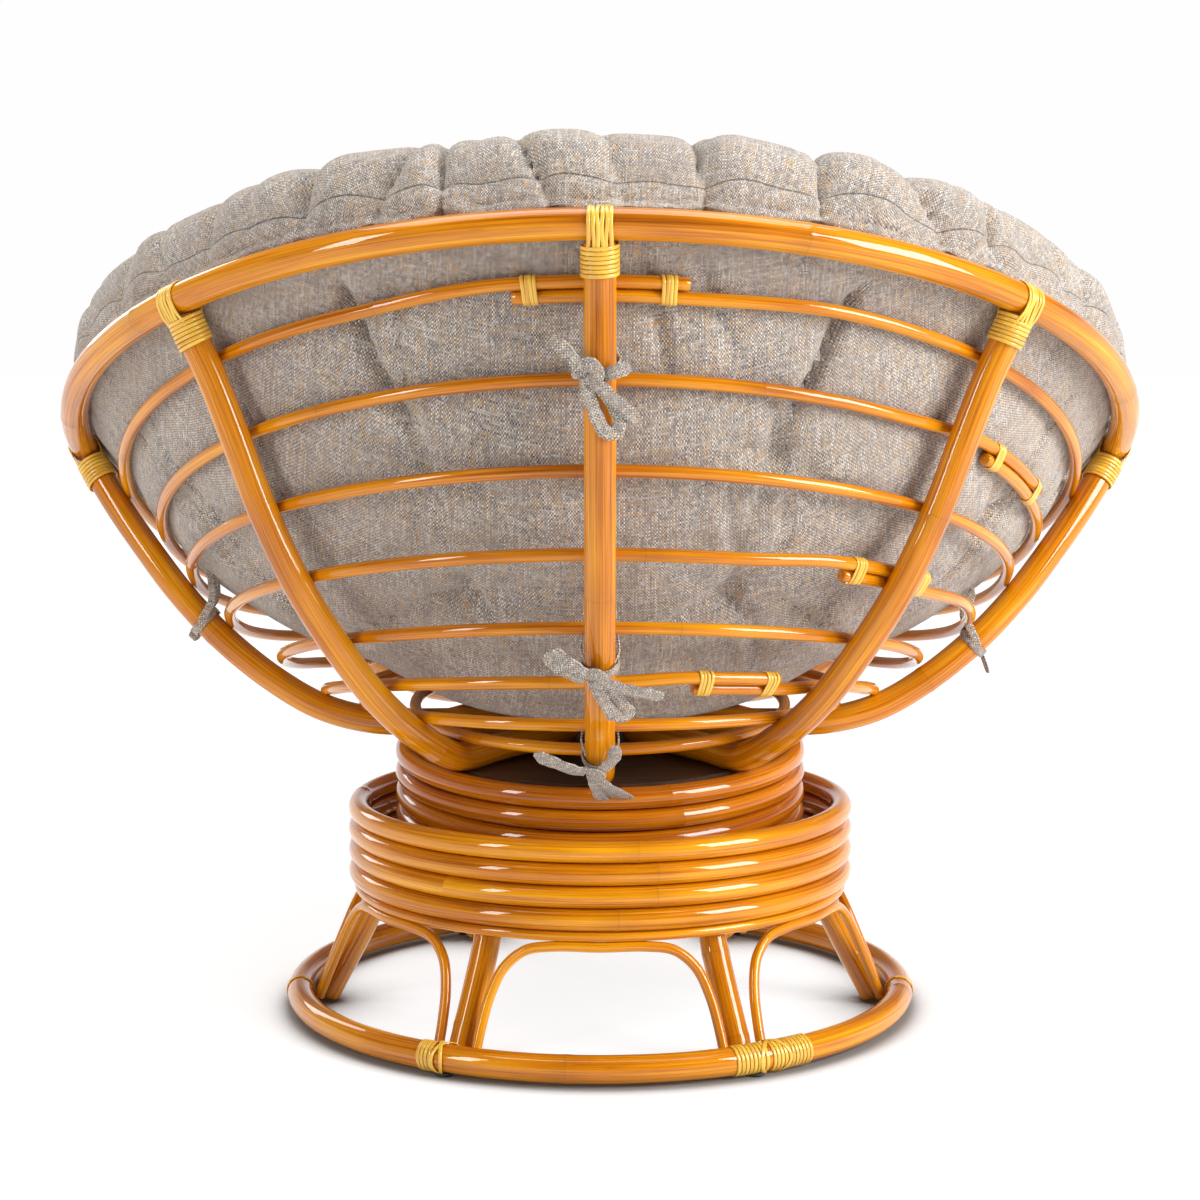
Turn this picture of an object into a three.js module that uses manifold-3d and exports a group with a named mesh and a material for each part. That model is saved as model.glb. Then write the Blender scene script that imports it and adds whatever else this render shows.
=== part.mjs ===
// A swivel and rocking papasan chair in rattan: a round bowl of poles and hoops with a thick cushion,
// on a drum of stacked rings that turns and rocks inside a second drum on six splayed legs.
// Sizes are in millimetres, +Z is up, the sitter faces -Y. Angles round the chair start at the back, +Y.

import * as THREE from "three";
import { LoftGeometry } from "three/addons/geometries/LoftGeometry.js";
import { mergeVertices } from "three/addons/utils/BufferGeometryUtils.js";
import Module from "manifold-3d";

const wasm = await Module();
wasm.setup();

// Gap that touching pieces keep.
const clearance = 0.3;

// Rim of the bowl: its own radius and pole, its lean up at the back, and where its centre lies
// above and in front of the axis that the bowl rocks on.
const rimRadius = 535;
const rimPoleRadius = 14;
const rimLean = THREE.MathUtils.degToRad(28.3);
const rimRise = 313.6;
const rimForward = 119.5;

// Ribs under the bowl, and the thin hoops that lie on them.
const ribCount = 8;
const ribPoleRadius = 14;
const ribInnerRadius = 46;
const hoopRodRadius = 6;
const hoopFrontRise = 8;

// The hoops from the lowest to the highest. Each row says how far the hoop's radius lies from the drum's to
// the rim's, how far its centre lies forward and its sides lie up as shares of the rim's, its own share of
// the rim's lean, the share of the front rise that it has, and how far the cushion stands off it as a share
// of the cushion's hollow.
const hoopShares = [
  { radius: -0.03, forward: 0.0, rise: 0.0, lean: 0.0, front: 0.0, off: 0.6 },
  { radius: 0.12, forward: 0.04, rise: 0.012, lean: 0.27, front: 0.02, off: 1.0 },
  { radius: 0.235, forward: 0.105, rise: 0.042, lean: 0.52, front: 0.08, off: 0.95 },
  { radius: 0.366, forward: 0.175, rise: 0.161, lean: 0.63, front: 0.18, off: 0.6 },
  { radius: 0.521, forward: 0.285, rise: 0.311, lean: 0.742, front: 0.32, off: 0.5 },
  { radius: 0.636, forward: 0.42, rise: 0.473, lean: 0.859, front: 0.5, off: 0.17 },
  { radius: 0.73, forward: 0.586, rise: 0.64, lean: 0.986, front: 0.74, off: 0.0 },
  { radius: 0.848, forward: 0.79, rise: 0.82, lean: 1.06, front: 1.0, off: 0.0 },
];

// Where each hoop's two ends lap, in steps round the chair, from the lowest hoop to the highest.
const hoopSteps = 40;
const hoopLapSteps = [18, -17, -3, 15, -5, 20, -7, 0];

// Upper drum, which the bowl stands on, and lower drum, which it turns and rocks in with a gap all round.
const upperDrumRadius = 196.5;
const upperDrumRings = 4;
const upperDrumRise = 26.2;
const drumGap = 27.1;
const lowerDrumRings = 4;
const drumPoleRadius = 10.5;
const thinRodRadius = 5;

// Floor ring, legs and arches.
const floorRingRadius = 305;
const floorPoleRadius = 13;
const glideHeight = 3;
const legPoleRadius = 13;
const legAngles = [28, 87, 150, -150, -87, -28].map((angle) => THREE.MathUtils.degToRad(angle));
const legTopDrop = 31;
const legKneeDrop = 80;
const archTopHeight = 113.3;

// One side of an arch from its foot to its middle, as shares of its half width and of its height.
const archShares = [
  { width: 1.0, height: 0.0 },
  { width: 0.985, height: 0.3 },
  { width: 0.95, height: 0.56 },
  { width: 0.86, height: 0.8 },
  { width: 0.68, height: 0.955 },
  { width: 0.42, height: 1.0 },
  { width: 0.0, height: 1.0 },
];

// Swivel bearing, rocking bracket, springs and boards, hidden inside the drums.
const rockAxisHeight = 235;
const rockBack = THREE.MathUtils.degToRad(5);
const boardThickness = 12;
const baseBoardTop = 138;
const bearingPlateWidth = 150;
const bearingPlateThickness = 3;
const bearingRaceRadius = 46;
const bearingRaceWidth = 8;
const bearingRaceHeight = 1.7;
const ballRadius = 2.2;
const bracketThickness = 4;
const bracketLength = 150;
const earInset = 70;
const earHalfWidth = 25;
const earTopRadius = 15;
const lugHalfWidth = 18;
const lugDrop = 13;
const rockerPlateLength = 200;
const pinRadius = 6;
const pinRunningGap = 0.6;
const pinOverhang = 4;
const springWireRadius = 2;
const springCoilRadius = 16;
const springOffset = 62;
const springTurns = 4;

// Cushion: its thickness, its edge beyond and above the rim, its tufts and gathers, and how far its
// underside stands off the lower hoops, which it bridges.
const cushionThickness = 98;
const cushionOverhang = 6;
const cushionEdgeHeight = 107;
const cushionTuftDepth = 34;
const cushionUnderTuftDepth = 9;
const cushionGatherDepth = 4;
const cushionCrown = 12;
const cushionTuftRows = [3, 5];
const cushionHollow = 36;
const cushionSeat = 0.5;

// The rounded top of the cushion's edge: shares of its overhang outward and of its height above the rim.
const cushionEdgeShares = [
  { out: 1.0, up: 0.43 },
  { out: 0.0, up: 0.79 },
  { out: -5.2, up: 0.99 },
];

// Cane lashings: the flat strand, the sleeves at the rib ends, and the windings round the floor ring over
// its scarf joint and at one leg, each by its angle and turns.
const caneWidth = 3.6;
const caneThickness = 1.2;
const lashingSleeveLength = 22;
const lashingSleeveGap = 0.6;
const lashingPitch = 4.4;
const scarfLashing = { angle: THREE.MathUtils.degToRad(-31), turns: 20 };
const legLashing = { angle: THREE.MathUtils.degToRad(27), turns: 6 };

const rimSides = 10;
const ribSides = 8;
const sleeveSides = 10;
const legSides = 8;
const drumSides = 8;
const drumSteps = 30;
const rodSides = 6;
const roundSteps = 24;
const legSteps = 8;

const rattan = (tone) =>
  new THREE.MeshStandardMaterial({ color: tone, roughness: 0.22, metalness: 0 });
const ribMaterial = rattan(0xb4601c);
const rimMaterial = rattan(0xb9651f);
const hoopMaterial = rattan(0xa9591c);
const drumMaterial = rattan(0xc0741e);
const baseMaterial = rattan(0xb8691d);
const caneMaterial = new THREE.MeshStandardMaterial({ color: 0xd9a02c, roughness: 0.3, metalness: 0 });
const boardMaterial = new THREE.MeshStandardMaterial({ color: 0xb58a58, roughness: 0.7, metalness: 0 });
const steelMaterial = new THREE.MeshStandardMaterial({ color: 0x6d7075, roughness: 0.35, metalness: 1 });
const clothMaterial = new THREE.MeshStandardMaterial({ color: 0x8d8375, roughness: 0.95, metalness: 0 });

/** A curve given by a formula of t from 0 to 1 and stepped evenly in t. */
class FormulaCurve extends THREE.Curve {
  constructor(pointAt) {
    super();
    this.pointAt = pointAt;
  }
  getPoint(t, target = new THREE.Vector3()) {
    return target.copy(this.pointAt(t));
  }
  getUtoTmapping(u) {
    return u;
  }
}

/** A smooth curve through points, stepped at the points. */
class PointCurve extends THREE.CatmullRomCurve3 {
  constructor(points) {
    super(points, false, "centripetal");
  }
  getUtoTmapping(u) {
    return u;
  }
}

/** A point at an angle round the chair, from its radius and height. */
function around(radius, angle, height) {
  return new THREE.Vector3(radius * Math.sin(angle), radius * Math.cos(angle), height);
}

/** A round section with flat sides. */
function roundSection(radius, sides) {
  const points = Array.from({ length: sides }, (_, i) => {
    const turn = (2 * Math.PI * i) / sides;
    return new THREE.Vector2(radius * Math.cos(turn), radius * Math.sin(turn));
  });
  return new THREE.Shape(points);
}

/** A closed pole along a curve. */
function pole(curve, radius, sides, steps) {
  const section = roundSection(radius, sides);
  return new THREE.ExtrudeGeometry(section, { steps, bevelEnabled: false, extrudePath: curve });
}

function mesh(name, geometry, material) {
  const made = new THREE.Mesh(geometry, material);
  made.name = name;
  return made;
}

/** A geometry as a solid that can be joined and cut. */
function solid(geometry) {
  const bare = geometry.index ? geometry.toNonIndexed() : geometry.clone();
  bare.deleteAttribute("normal");
  bare.deleteAttribute("uv");
  const merged = mergeVertices(bare, 1e-3);
  const triVerts = new Uint32Array(merged.index.array);
  const vertProperties = merged.attributes.position.array;
  return new wasm.Manifold(new wasm.Mesh({ numProp: 3, vertProperties, triVerts }));
}

/** A solid as a geometry again. */
function geometryOf(shape) {
  const { vertProperties, triVerts } = shape.getMesh();
  const geometry = new THREE.BufferGeometry();
  geometry.setAttribute("position", new THREE.BufferAttribute(new Float32Array(vertProperties), 3));
  geometry.setIndex(new THREE.BufferAttribute(new Uint32Array(triVerts), 1));
  geometry.computeVertexNormals();
  return geometry;
}

function join(...geometries) {
  return geometryOf(geometries.map(solid).reduce((sum, next) => sum.add(next)));
}

/** The least gap between turns of a wound strand, measured between points at least half a turn apart. */
function leastGap(points, stepsPerTurn, width) {
  let least = Infinity;
  points.forEach((a, i) =>
    points.slice(i + Math.ceil(stepsPerTurn / 2)).forEach((b) => {
      least = Math.min(least, a.distanceTo(b) - width);
    }),
  );
  return least;
}

const lowerDrumRadius = upperDrumRadius + 2 * drumPoleRadius + drumGap;

// The bowl's surface, seen from the rocking axis.
const ringPitch = 2 * drumPoleRadius + clearance;
const drumTop = upperDrumRise + drumPoleRadius;
const ribLevel = drumTop + clearance + ribPoleRadius;
const hoopLevel = ribLevel + ribPoleRadius + clearance + hoopRodRadius;
const rimRow = hoopShares.length;

/** A hoop's sizes, or the rim's as the last row. */
function bowlRow(row) {
  if (row === rimRow) {
    return { radius: rimRadius, forward: rimForward, side: rimRise, lean: rimLean, front: null };
  }
  const share = hoopShares[row];
  return {
    radius: THREE.MathUtils.lerp(upperDrumRadius, rimRadius, share.radius),
    forward: rimForward * share.forward,
    side: THREE.MathUtils.lerp(hoopLevel, rimRise, share.rise),
    lean: rimLean * share.lean,
    front: hoopLevel + hoopFrontRise * share.front,
  };
}

/** A point of a hoop: a leaning circle whose front half is lifted to lie on the ribs. */
function bowlPoint(row, angle) {
  const { radius, forward, side, lean, front } = bowlRow(row);
  const across = Math.cos(angle);
  const rise = radius * Math.sin(lean);
  const lift = front === null || across > 0 ? 0 : (front - side + rise) * across * across;
  return new THREE.Vector3(
    radius * Math.sin(angle),
    radius * Math.cos(lean) * across - forward,
    side + rise * across + lift,
  );
}

/** The direction from a hoop toward the cushion, square to the bowl's surface. */
function bowlNormal(row, angle) {
  if (row === 0) return new THREE.Vector3(0, 0, 1);
  const step = Math.PI / hoopSteps;
  const along = bowlPoint(row, angle + step).sub(bowlPoint(row, angle - step));
  const upper = bowlPoint(Math.min(row + 1, rimRow), angle);
  const outward = upper.sub(bowlPoint(row - 1, angle));
  return along.cross(outward).normalize();
}

// The flat sides of the rim turn in toward a rib's end by this much across the rib.
const rimFlatTurn = ribPoleRadius * Math.tan(Math.PI / hoopSteps);

/** The rib's path: flat over the drum, then under each hoop, to the underside of the rim. */
function ribPath(angle) {
  const reach = hoopRodRadius + ribPoleRadius + clearance;
  const flat = [ribInnerRadius, upperDrumRadius - 2 * ribPoleRadius, upperDrumRadius];
  const points = [...flat, upperDrumRadius + drumPoleRadius].map((radius) => around(radius, angle, ribLevel));
  for (let row = 1; row < rimRow; row += 1) {
    points.push(bowlPoint(row, angle).addScaledVector(bowlNormal(row, angle), -reach));
  }
  const rimPoint = bowlPoint(rimRow, angle);
  const alongRim = around(1, angle + Math.PI / 2, 0).applyAxisAngle(new THREE.Vector3(1, 0, 0), rimLean);
  const toRim = rimPoint.clone().sub(points[points.length - 1]).projectOnPlane(alongRim).normalize();
  const endGap = rimPoleRadius + clearance + rimFlatTurn;
  points.push(rimPoint.clone().addScaledVector(toRim, -endGap - lashingSleeveLength));
  points.push(rimPoint.addScaledVector(toRim, -endGap));
  return new PointCurve(points);
}

function buildRibs() {
  return Array.from({ length: ribCount }, (_, i) => {
    const path = ribPath((2 * Math.PI * i) / ribCount);
    const steps = path.points.length - 1;
    return mesh(`rib_${i + 1}`, pole(path, ribPoleRadius, ribSides, steps), ribMaterial);
  });
}

/** One hoop, whose two ends lap side by side on the ribs. */
function hoopPath(row) {
  const step = (2 * Math.PI) / hoopSteps;
  const start = (hoopLapSteps[row] - 1) * step;
  const sideways = hoopRodRadius + clearance;
  const turns = hoopSteps + 2;
  return new FormulaCurve((t) => {
    const steps = t * turns;
    const angle = start + steps * step;
    const fromStart = THREE.MathUtils.smoothstep(steps, 2, 4);
    const fromEnd = THREE.MathUtils.smoothstep(turns - steps, 2, 4);
    const aside = sideways * (fromEnd - fromStart);
    const along = bowlPoint(row, angle + step).sub(bowlPoint(row, angle - step)).normalize();
    const across = bowlNormal(row, angle).cross(along).normalize();
    return bowlPoint(row, angle).addScaledVector(across, aside);
  });
}

function buildHoops() {
  return hoopShares.map((_, row) =>
    mesh(
      `hoop_${row + 1}`,
      pole(hoopPath(row), hoopRodRadius, rodSides, hoopSteps + 2),
      hoopMaterial,
    ),
  );
}

function ring(radius, rodRadius, sides, steps) {
  return new THREE.TorusGeometry(radius, rodRadius, sides, steps);
}

function buildRim() {
  const rim = mesh("rim", ring(rimRadius, rimPoleRadius, rimSides, hoopSteps), rimMaterial);
  rim.position.set(0, -rimForward, rimRise);
  rim.rotation.x = rimLean;
  return rim;
}

/** The radius of a flat-sided circle at an angle. */
function flatRadius(radius, steps, angle) {
  const step = (2 * Math.PI) / steps;
  const fromMiddle = THREE.MathUtils.euclideanModulo(Math.PI / 2 - angle, step) - step / 2;
  return (radius * Math.cos(step / 2)) / Math.cos(fromMiddle);
}

/** Stacked rings of a drum, from the top ring down. */
function buildDrum(name, radius, count, topHeight) {
  return Array.from({ length: count }, (_, i) => {
    const made = mesh(`${name}_${i + 1}`, ring(radius, drumPoleRadius, drumSides, drumSteps), drumMaterial);
    made.position.z = topHeight - i * ringPitch;
    return made;
  });
}

/** A closed sleeve of cane round the end of a rib. */
function buildRimLashings() {
  const inner = (ribPoleRadius + clearance) / Math.cos(Math.PI / sleeveSides);
  const outer = inner + caneThickness;
  const profile = [
    new THREE.Vector2(inner, 0),
    new THREE.Vector2(outer, 0),
    new THREE.Vector2(outer, lashingSleeveLength),
    new THREE.Vector2(inner, lashingSleeveLength),
    new THREE.Vector2(inner, 0),
  ];
  return Array.from({ length: ribCount }, (_, i) => {
    const path = ribPath((2 * Math.PI * i) / ribCount);
    const sleeve = mesh(`rim_lashing_${i + 1}`, new THREE.LatheGeometry(profile, sleeveSides), caneMaterial);
    const direction = path.getTangentAt(1).negate();
    sleeve.quaternion.setFromUnitVectors(new THREE.Vector3(0, 1, 0), direction);
    sleeve.position.copy(path.getPointAt(1)).addScaledVector(direction, lashingSleeveGap + clearance);
    return sleeve;
  });
}

// The cushion: rows from the middle of its underside out over the rim and back over its top.
const cushionLift = hoopRodRadius + clearance + cushionSeat;

/** The directions out from the rim's centre line in its plane and up from its plane. */
function rimAxes(angle) {
  const outward = new THREE.Vector3(
    Math.sin(angle),
    Math.cos(angle) * Math.cos(rimLean),
    Math.cos(angle) * Math.sin(rimLean),
  );
  return { outward, upward: new THREE.Vector3(0, -Math.sin(rimLean), Math.cos(rimLean)) };
}

/** A point beside the rim, from its distances out from the rim's centre line and above the rim's plane. */
function besideRim(angle, out, up) {
  const { outward, upward } = rimAxes(angle);
  return bowlPoint(rimRow, angle).addScaledVector(outward, out).addScaledVector(upward, up);
}

/** Where the cushion's underside turns over the rim: straight lines from the last hoop and over the top. */
function rimCorner(angle, lastUnder, seat) {
  const { outward, upward } = rimAxes(angle);
  const fromRim = lastUnder.clone().sub(bowlPoint(rimRow, angle));
  const out = fromRim.dot(outward);
  const up = fromRim.dot(upward);
  const touch = Math.atan2(-up, -out) + Math.PI - Math.acos(seat / Math.hypot(out, up));
  const half = (touch - Math.PI / 2) / 2;
  const reach = seat / Math.cos(half);
  return besideRim(angle, -reach * Math.sin(half), reach * Math.cos(half));
}

/** How deep a tuft pulls the cushion in at a row and an angle, between two ribs. */
function tuft(row, angle) {
  const offRib = Math.sin((ribCount * angle) / 2) ** 2;
  return cushionTuftRows.includes(row) ? offRib ** 4 : 0;
}

/** The draw of the gathers round the cushion's edge. */
function gather(angle) {
  return (1 - Math.cos((hoopSteps / 2) * angle)) / 2;
}

/** All rows of the cushion at one angle. */
function cushionProfile(angle) {
  const rimSeat = rimPoleRadius + clearance + cushionSeat;
  const middle = new THREE.Vector3(0, 0, hoopLevel + cushionLift);
  const halfway = around(bowlRow(0).radius / 2, angle, middle.z);
  const lifted = (cushionHollow * hoopShares[0].off) / 2;
  const under = [];
  const top = [];
  hoopShares.forEach(({ off }, row) => {
    const normal = bowlNormal(row, angle);
    const pulled = tuft(row, angle);
    const lift = cushionLift + cushionUnderTuftDepth * pulled + cushionHollow * off;
    under.push(bowlPoint(row, angle).addScaledVector(normal, lift));
    const height = cushionLift + cushionThickness - cushionTuftDepth * pulled;
    top.push(bowlPoint(row, angle).addScaledVector(normal, height));
  });
  const drawn = cushionGatherDepth * gather(angle);
  const edge = cushionEdgeShares.map(({ out, up }) =>
    besideRim(angle, cushionOverhang * out - drawn, cushionEdgeHeight * up),
  );
  return [
    middle.clone().setZ(middle.z + lifted),
    halfway.clone().setZ(middle.z + lifted),
    ...under,
    rimCorner(angle, under[under.length - 1], rimSeat),
    besideRim(angle, 0, rimSeat),
    ...edge,
    ...top.reverse(),
    halfway.clone().setZ(middle.z + cushionThickness + cushionCrown),
    middle.clone().setZ(middle.z + cushionThickness - cushionTuftDepth),
  ];
}

function buildCushion() {
  const profiles = Array.from({ length: hoopSteps }, (_, i) =>
    cushionProfile((2 * Math.PI * i) / hoopSteps),
  );
  const rows = profiles[0].map((_, row) => profiles.map((profile) => profile[row]));
  return mesh("cushion", new LoftGeometry(rows.reverse()), clothMaterial);
}

/** The angle from upright of a pole that runs from a high point down to the lashings on the floor ring. */
function leanToFloorRing(radius, height, poleRadius) {
  const out = floorRingRadius - radius;
  const down = height - floorRingHeight;
  const touch = floorPoleRadius + poleRadius + caneThickness + 2 * clearance;
  return Math.atan2(out, down) - Math.asin(touch / Math.hypot(out, down));
}

// Heights up the base, and where the legs stand inside the drum.
const floorRingHeight = glideHeight + floorPoleRadius;
const thinRingHeight = archTopHeight + 2 * thinRodRadius + clearance;
const lowerDrumBottom = thinRingHeight + thinRodRadius + clearance + drumPoleRadius;
const lowerDrumTop = lowerDrumBottom + (lowerDrumRings - 1) * ringPitch;

/** How far from the axis a leg stands inside the drum, against the flat sides of its rings. */
function legTopRadius(angle) {
  return flatRadius(lowerDrumRadius - drumPoleRadius, drumSteps, angle) - clearance - legPoleRadius;
}

/** A bent leg: upright inside the drum, then splayed out to the floor ring, cut flat at the floor. */
function legGeometry(radius) {
  const top = lowerDrumTop - legTopDrop;
  const knee = lowerDrumTop - legKneeDrop;
  const slope = Math.tan(leanToFloorRing(radius, knee, legPoleRadius));
  const splayed = (height) => around(radius + (knee - height) * slope, 0, height);
  const points = [
    around(radius, 0, top),
    around(radius, 0, knee + legPoleRadius),
    splayed(knee - legPoleRadius),
    splayed(floorRingHeight),
    splayed(-legPoleRadius),
  ];
  const path = new THREE.CatmullRomCurve3(points, false, "centripetal");
  const whole = pole(path, legPoleRadius, legSides, legSteps);
  const below = new THREE.BoxGeometry(floorRingRadius, 2 * floorRingRadius, 2 * legPoleRadius);
  below.translate(0, floorRingRadius, -legPoleRadius);
  return geometryOf(solid(whole).subtract(solid(below)));
}

function buildLegs() {
  return legAngles.map((angle, i) => {
    const leg = mesh(`leg_${i + 1}`, legGeometry(legTopRadius(angle)), baseMaterial);
    leg.rotation.z = -angle;
    return leg;
  });
}

/** An arch between two legs: up one leg, under the thin ring and down the next leg. */
function archPath(from, to) {
  const lean = leanToFloorRing(lowerDrumRadius, archTopHeight, thinRodRadius);
  const touch = floorPoleRadius + thinRodRadius + caneThickness + 2 * clearance;
  const footHeight = floorRingHeight - touch * Math.sin(lean);
  const footRadius = floorRingRadius - touch * Math.cos(lean);
  const legRoom = (legPoleRadius + thinRodRadius + 2 * clearance) / Math.cos(lean) / footRadius;
  const middle = (from + to) / 2;
  const half = (to - from) / 2 - legRoom;
  const side = archShares.map(({ width, height }) => (sign) =>
    around(
      THREE.MathUtils.lerp(footRadius, lowerDrumRadius, height),
      middle + sign * half * width,
      THREE.MathUtils.lerp(footHeight, archTopHeight, height),
    ),
  );
  const rising = side.map((place) => place(-1));
  const falling = side.slice(0, -1).reverse().map((place) => place(1));
  return new PointCurve([...rising, ...falling]);
}

function buildArches() {
  return legAngles.map((angle, i) => {
    const next = legAngles[(i + 1) % legAngles.length];
    const path = archPath(angle, next > angle ? next : next + 2 * Math.PI);
    const steps = path.points.length - 1;
    return mesh(`arch_${i + 1}`, pole(path, thinRodRadius, rodSides, steps), baseMaterial);
  });
}

/** A flat cane strand wound round the floor ring in one unbroken run. */
function buildFloorLashing(name, { angle, turns }) {
  const steps = turns * legSides;
  const wound = floorPoleRadius + clearance + caneThickness / 2;
  const middles = [];
  const sections = Array.from({ length: steps + 1 }, (_, i) => {
    const turn = (2 * Math.PI * i) / legSides;
    const along = angle + (((i / steps) * turns - turns / 2) * lashingPitch) / floorRingRadius;
    const outward = around(Math.cos(turn), along, Math.sin(turn));
    const tangent = around(1, along + Math.PI / 2, 0);
    const core = around(flatRadius(floorRingRadius, hoopSteps, along), along, floorRingHeight);
    const middle = core.addScaledVector(outward, wound);
    middles.push(middle);
    return [[1, 1], [-1, 1], [-1, -1], [1, -1]].map(([side, face]) =>
      middle
        .clone()
        .addScaledVector(tangent, (side * caneWidth) / 2)
        .addScaledVector(outward, (face * caneThickness) / 2),
    );
  });
  const gap = leastGap(middles, legSides, caneWidth);
  console.log(`least gap in ${name}: ${gap.toFixed(2)} mm`);
  return mesh(name, new LoftGeometry(sections, { capStart: true, capEnd: true }), caneMaterial);
}

function buildBase() {
  const base = new THREE.Group();
  const floorRing = mesh(
    "floor_ring",
    ring(floorRingRadius, floorPoleRadius, legSides, hoopSteps),
    baseMaterial,
  );
  floorRing.position.z = floorRingHeight;
  const thinRing = mesh(
    "thin_ring",
    ring(lowerDrumRadius, thinRodRadius, drumSides, drumSteps),
    drumMaterial,
  );
  thinRing.position.z = thinRingHeight;
  base.add(floorRing, thinRing, ...buildLegs(), ...buildArches());
  base.add(buildFloorLashing("scarf_lashing", scarfLashing), buildFloorLashing("leg_lashing", legLashing));
  base.add(...buildDrum("lower_drum", lowerDrumRadius, lowerDrumRings, lowerDrumTop));
  return base;
}

/** The radius of a board with the drum's flat sides, from the gap to the drum's rings. */
function insideDrum(radius, gap) {
  return radius - drumPoleRadius - gap / Math.cos(Math.PI / drumSteps);
}

/** A round board lying flat, from its radius and the height of its top. */
function board(name, radius, top) {
  const quarter = Math.PI / 2;
  const disc = new THREE.CylinderGeometry(radius, radius, boardThickness, drumSteps, 1, false, quarter);
  const made = mesh(name, disc, boardMaterial);
  made.rotation.x = Math.PI / 2;
  made.position.z = top - boardThickness / 2;
  return made;
}

/** A square bearing plate with its raised race on the upper side. */
function bearingPlate() {
  const inner = bearingRaceRadius - bearingRaceWidth / 2;
  const outer = bearingRaceRadius + bearingRaceWidth / 2;
  const sunk = -bearingPlateThickness / 2;
  const profile = [
    new THREE.Vector2(inner, sunk),
    new THREE.Vector2(outer, sunk),
    new THREE.Vector2(outer, bearingRaceHeight),
    new THREE.Vector2(inner, bearingRaceHeight),
    new THREE.Vector2(inner, sunk),
  ];
  const race = new THREE.LatheGeometry(profile, roundSteps);
  race.rotateX(Math.PI / 2);
  const plate = new THREE.BoxGeometry(bearingPlateWidth, bearingPlateWidth, bearingPlateThickness);
  plate.translate(0, 0, -bearingPlateThickness / 2);
  return join(plate, race);
}

const bearingLowerTop = baseBoardTop + clearance + bearingPlateThickness;
const ballHeight = bearingLowerTop + bearingRaceHeight + clearance + ballRadius;
const bearingUpperBottom = ballHeight + ballRadius + clearance + bearingRaceHeight;
const bracketBottom = bearingUpperBottom + bearingPlateThickness + clearance;
const bracketTop = bracketBottom + bracketThickness;

function buildBearing() {
  const lower = mesh("bearing_lower_plate", bearingPlate(), steelMaterial);
  lower.position.z = bearingLowerTop;
  const balls = mesh("bearing_ball_ring", ring(bearingRaceRadius, ballRadius, rodSides, roundSteps), steelMaterial);
  balls.position.z = ballHeight;
  const upper = mesh("bearing_upper_plate", bearingPlate(), steelMaterial);
  upper.rotation.x = Math.PI;
  upper.position.z = bearingUpperBottom;
  return { lower, balls, upper };
}

/** An upright plate with a hole for the pin, its outline in the plane across the pin. */
function pinPlate(halfWidth, topRadius, foot, inside) {
  const outline = new THREE.Shape();
  outline.moveTo(-halfWidth, foot);
  outline.lineTo(halfWidth, foot);
  outline.lineTo(topRadius, 0);
  outline.absarc(0, 0, topRadius, 0, foot < 0 ? Math.PI : -Math.PI, foot > 0);
  outline.closePath();
  const hole = new THREE.Path();
  hole.absarc(0, 0, pinRadius + pinRunningGap, 0, 2 * Math.PI);
  outline.holes.push(hole);
  const plate = new THREE.ExtrudeGeometry(outline, {
    depth: bracketThickness,
    bevelEnabled: false,
    curveSegments: 12,
  });
  plate.rotateX(Math.PI / 2);
  plate.rotateZ(Math.PI / 2);
  plate.translate(inside, 0, 0);
  return plate;
}

/** The bracket that turns with the bearing and carries the rocking pin in its two ears. */
function buildBracket() {
  const floor = new THREE.BoxGeometry(2 * (earInset + bracketThickness), bracketLength, bracketThickness);
  floor.translate(0, 0, bracketTop - bracketThickness / 2 - rockAxisHeight);
  const foot = bracketBottom - rockAxisHeight + bracketThickness / 2;
  const right = pinPlate(earHalfWidth, earTopRadius, foot, earInset);
  const left = pinPlate(earHalfWidth, earTopRadius, foot, -earInset - bracketThickness);
  const bracket = mesh("rocker_bracket", join(floor, right, left), steelMaterial);
  bracket.position.z = rockAxisHeight;
  return bracket;
}

function buildPin() {
  const length = 2 * (earInset + bracketThickness + pinOverhang);
  const pin = mesh("rocker_pin", new THREE.CylinderGeometry(pinRadius, pinRadius, length, roundSteps), steelMaterial);
  pin.rotation.z = Math.PI / 2;
  pin.position.z = rockAxisHeight;
  return pin;
}

// The rocker plate hangs on the pin by two lugs just inside the ears, seen from the rocking axis.
const seatBoardTop = drumTop;
const rockerPlateTop = seatBoardTop - boardThickness - clearance;
const rockerPlateBottom = rockerPlateTop - bracketThickness;

function buildRockerPlate() {
  const inside = earInset - clearance - bracketThickness;
  const plate = new THREE.BoxGeometry(2 * (inside + bracketThickness), rockerPlateLength, bracketThickness);
  plate.translate(0, 0, rockerPlateTop - bracketThickness / 2);
  const foot = rockerPlateTop - bracketThickness / 2;
  const right = pinPlate(lugHalfWidth, lugDrop, foot, inside);
  const left = pinPlate(lugHalfWidth, lugDrop, foot, -inside - bracketThickness);
  return mesh("rocker_plate", join(plate, right, left), steelMaterial);
}

/** Height of the leaning rocker plate's underside above the floor at a place along Y. */
function rockerUndersideAt(y) {
  return rockAxisHeight + rockerPlateBottom / Math.cos(rockBack) - y * Math.tan(rockBack);
}

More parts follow.
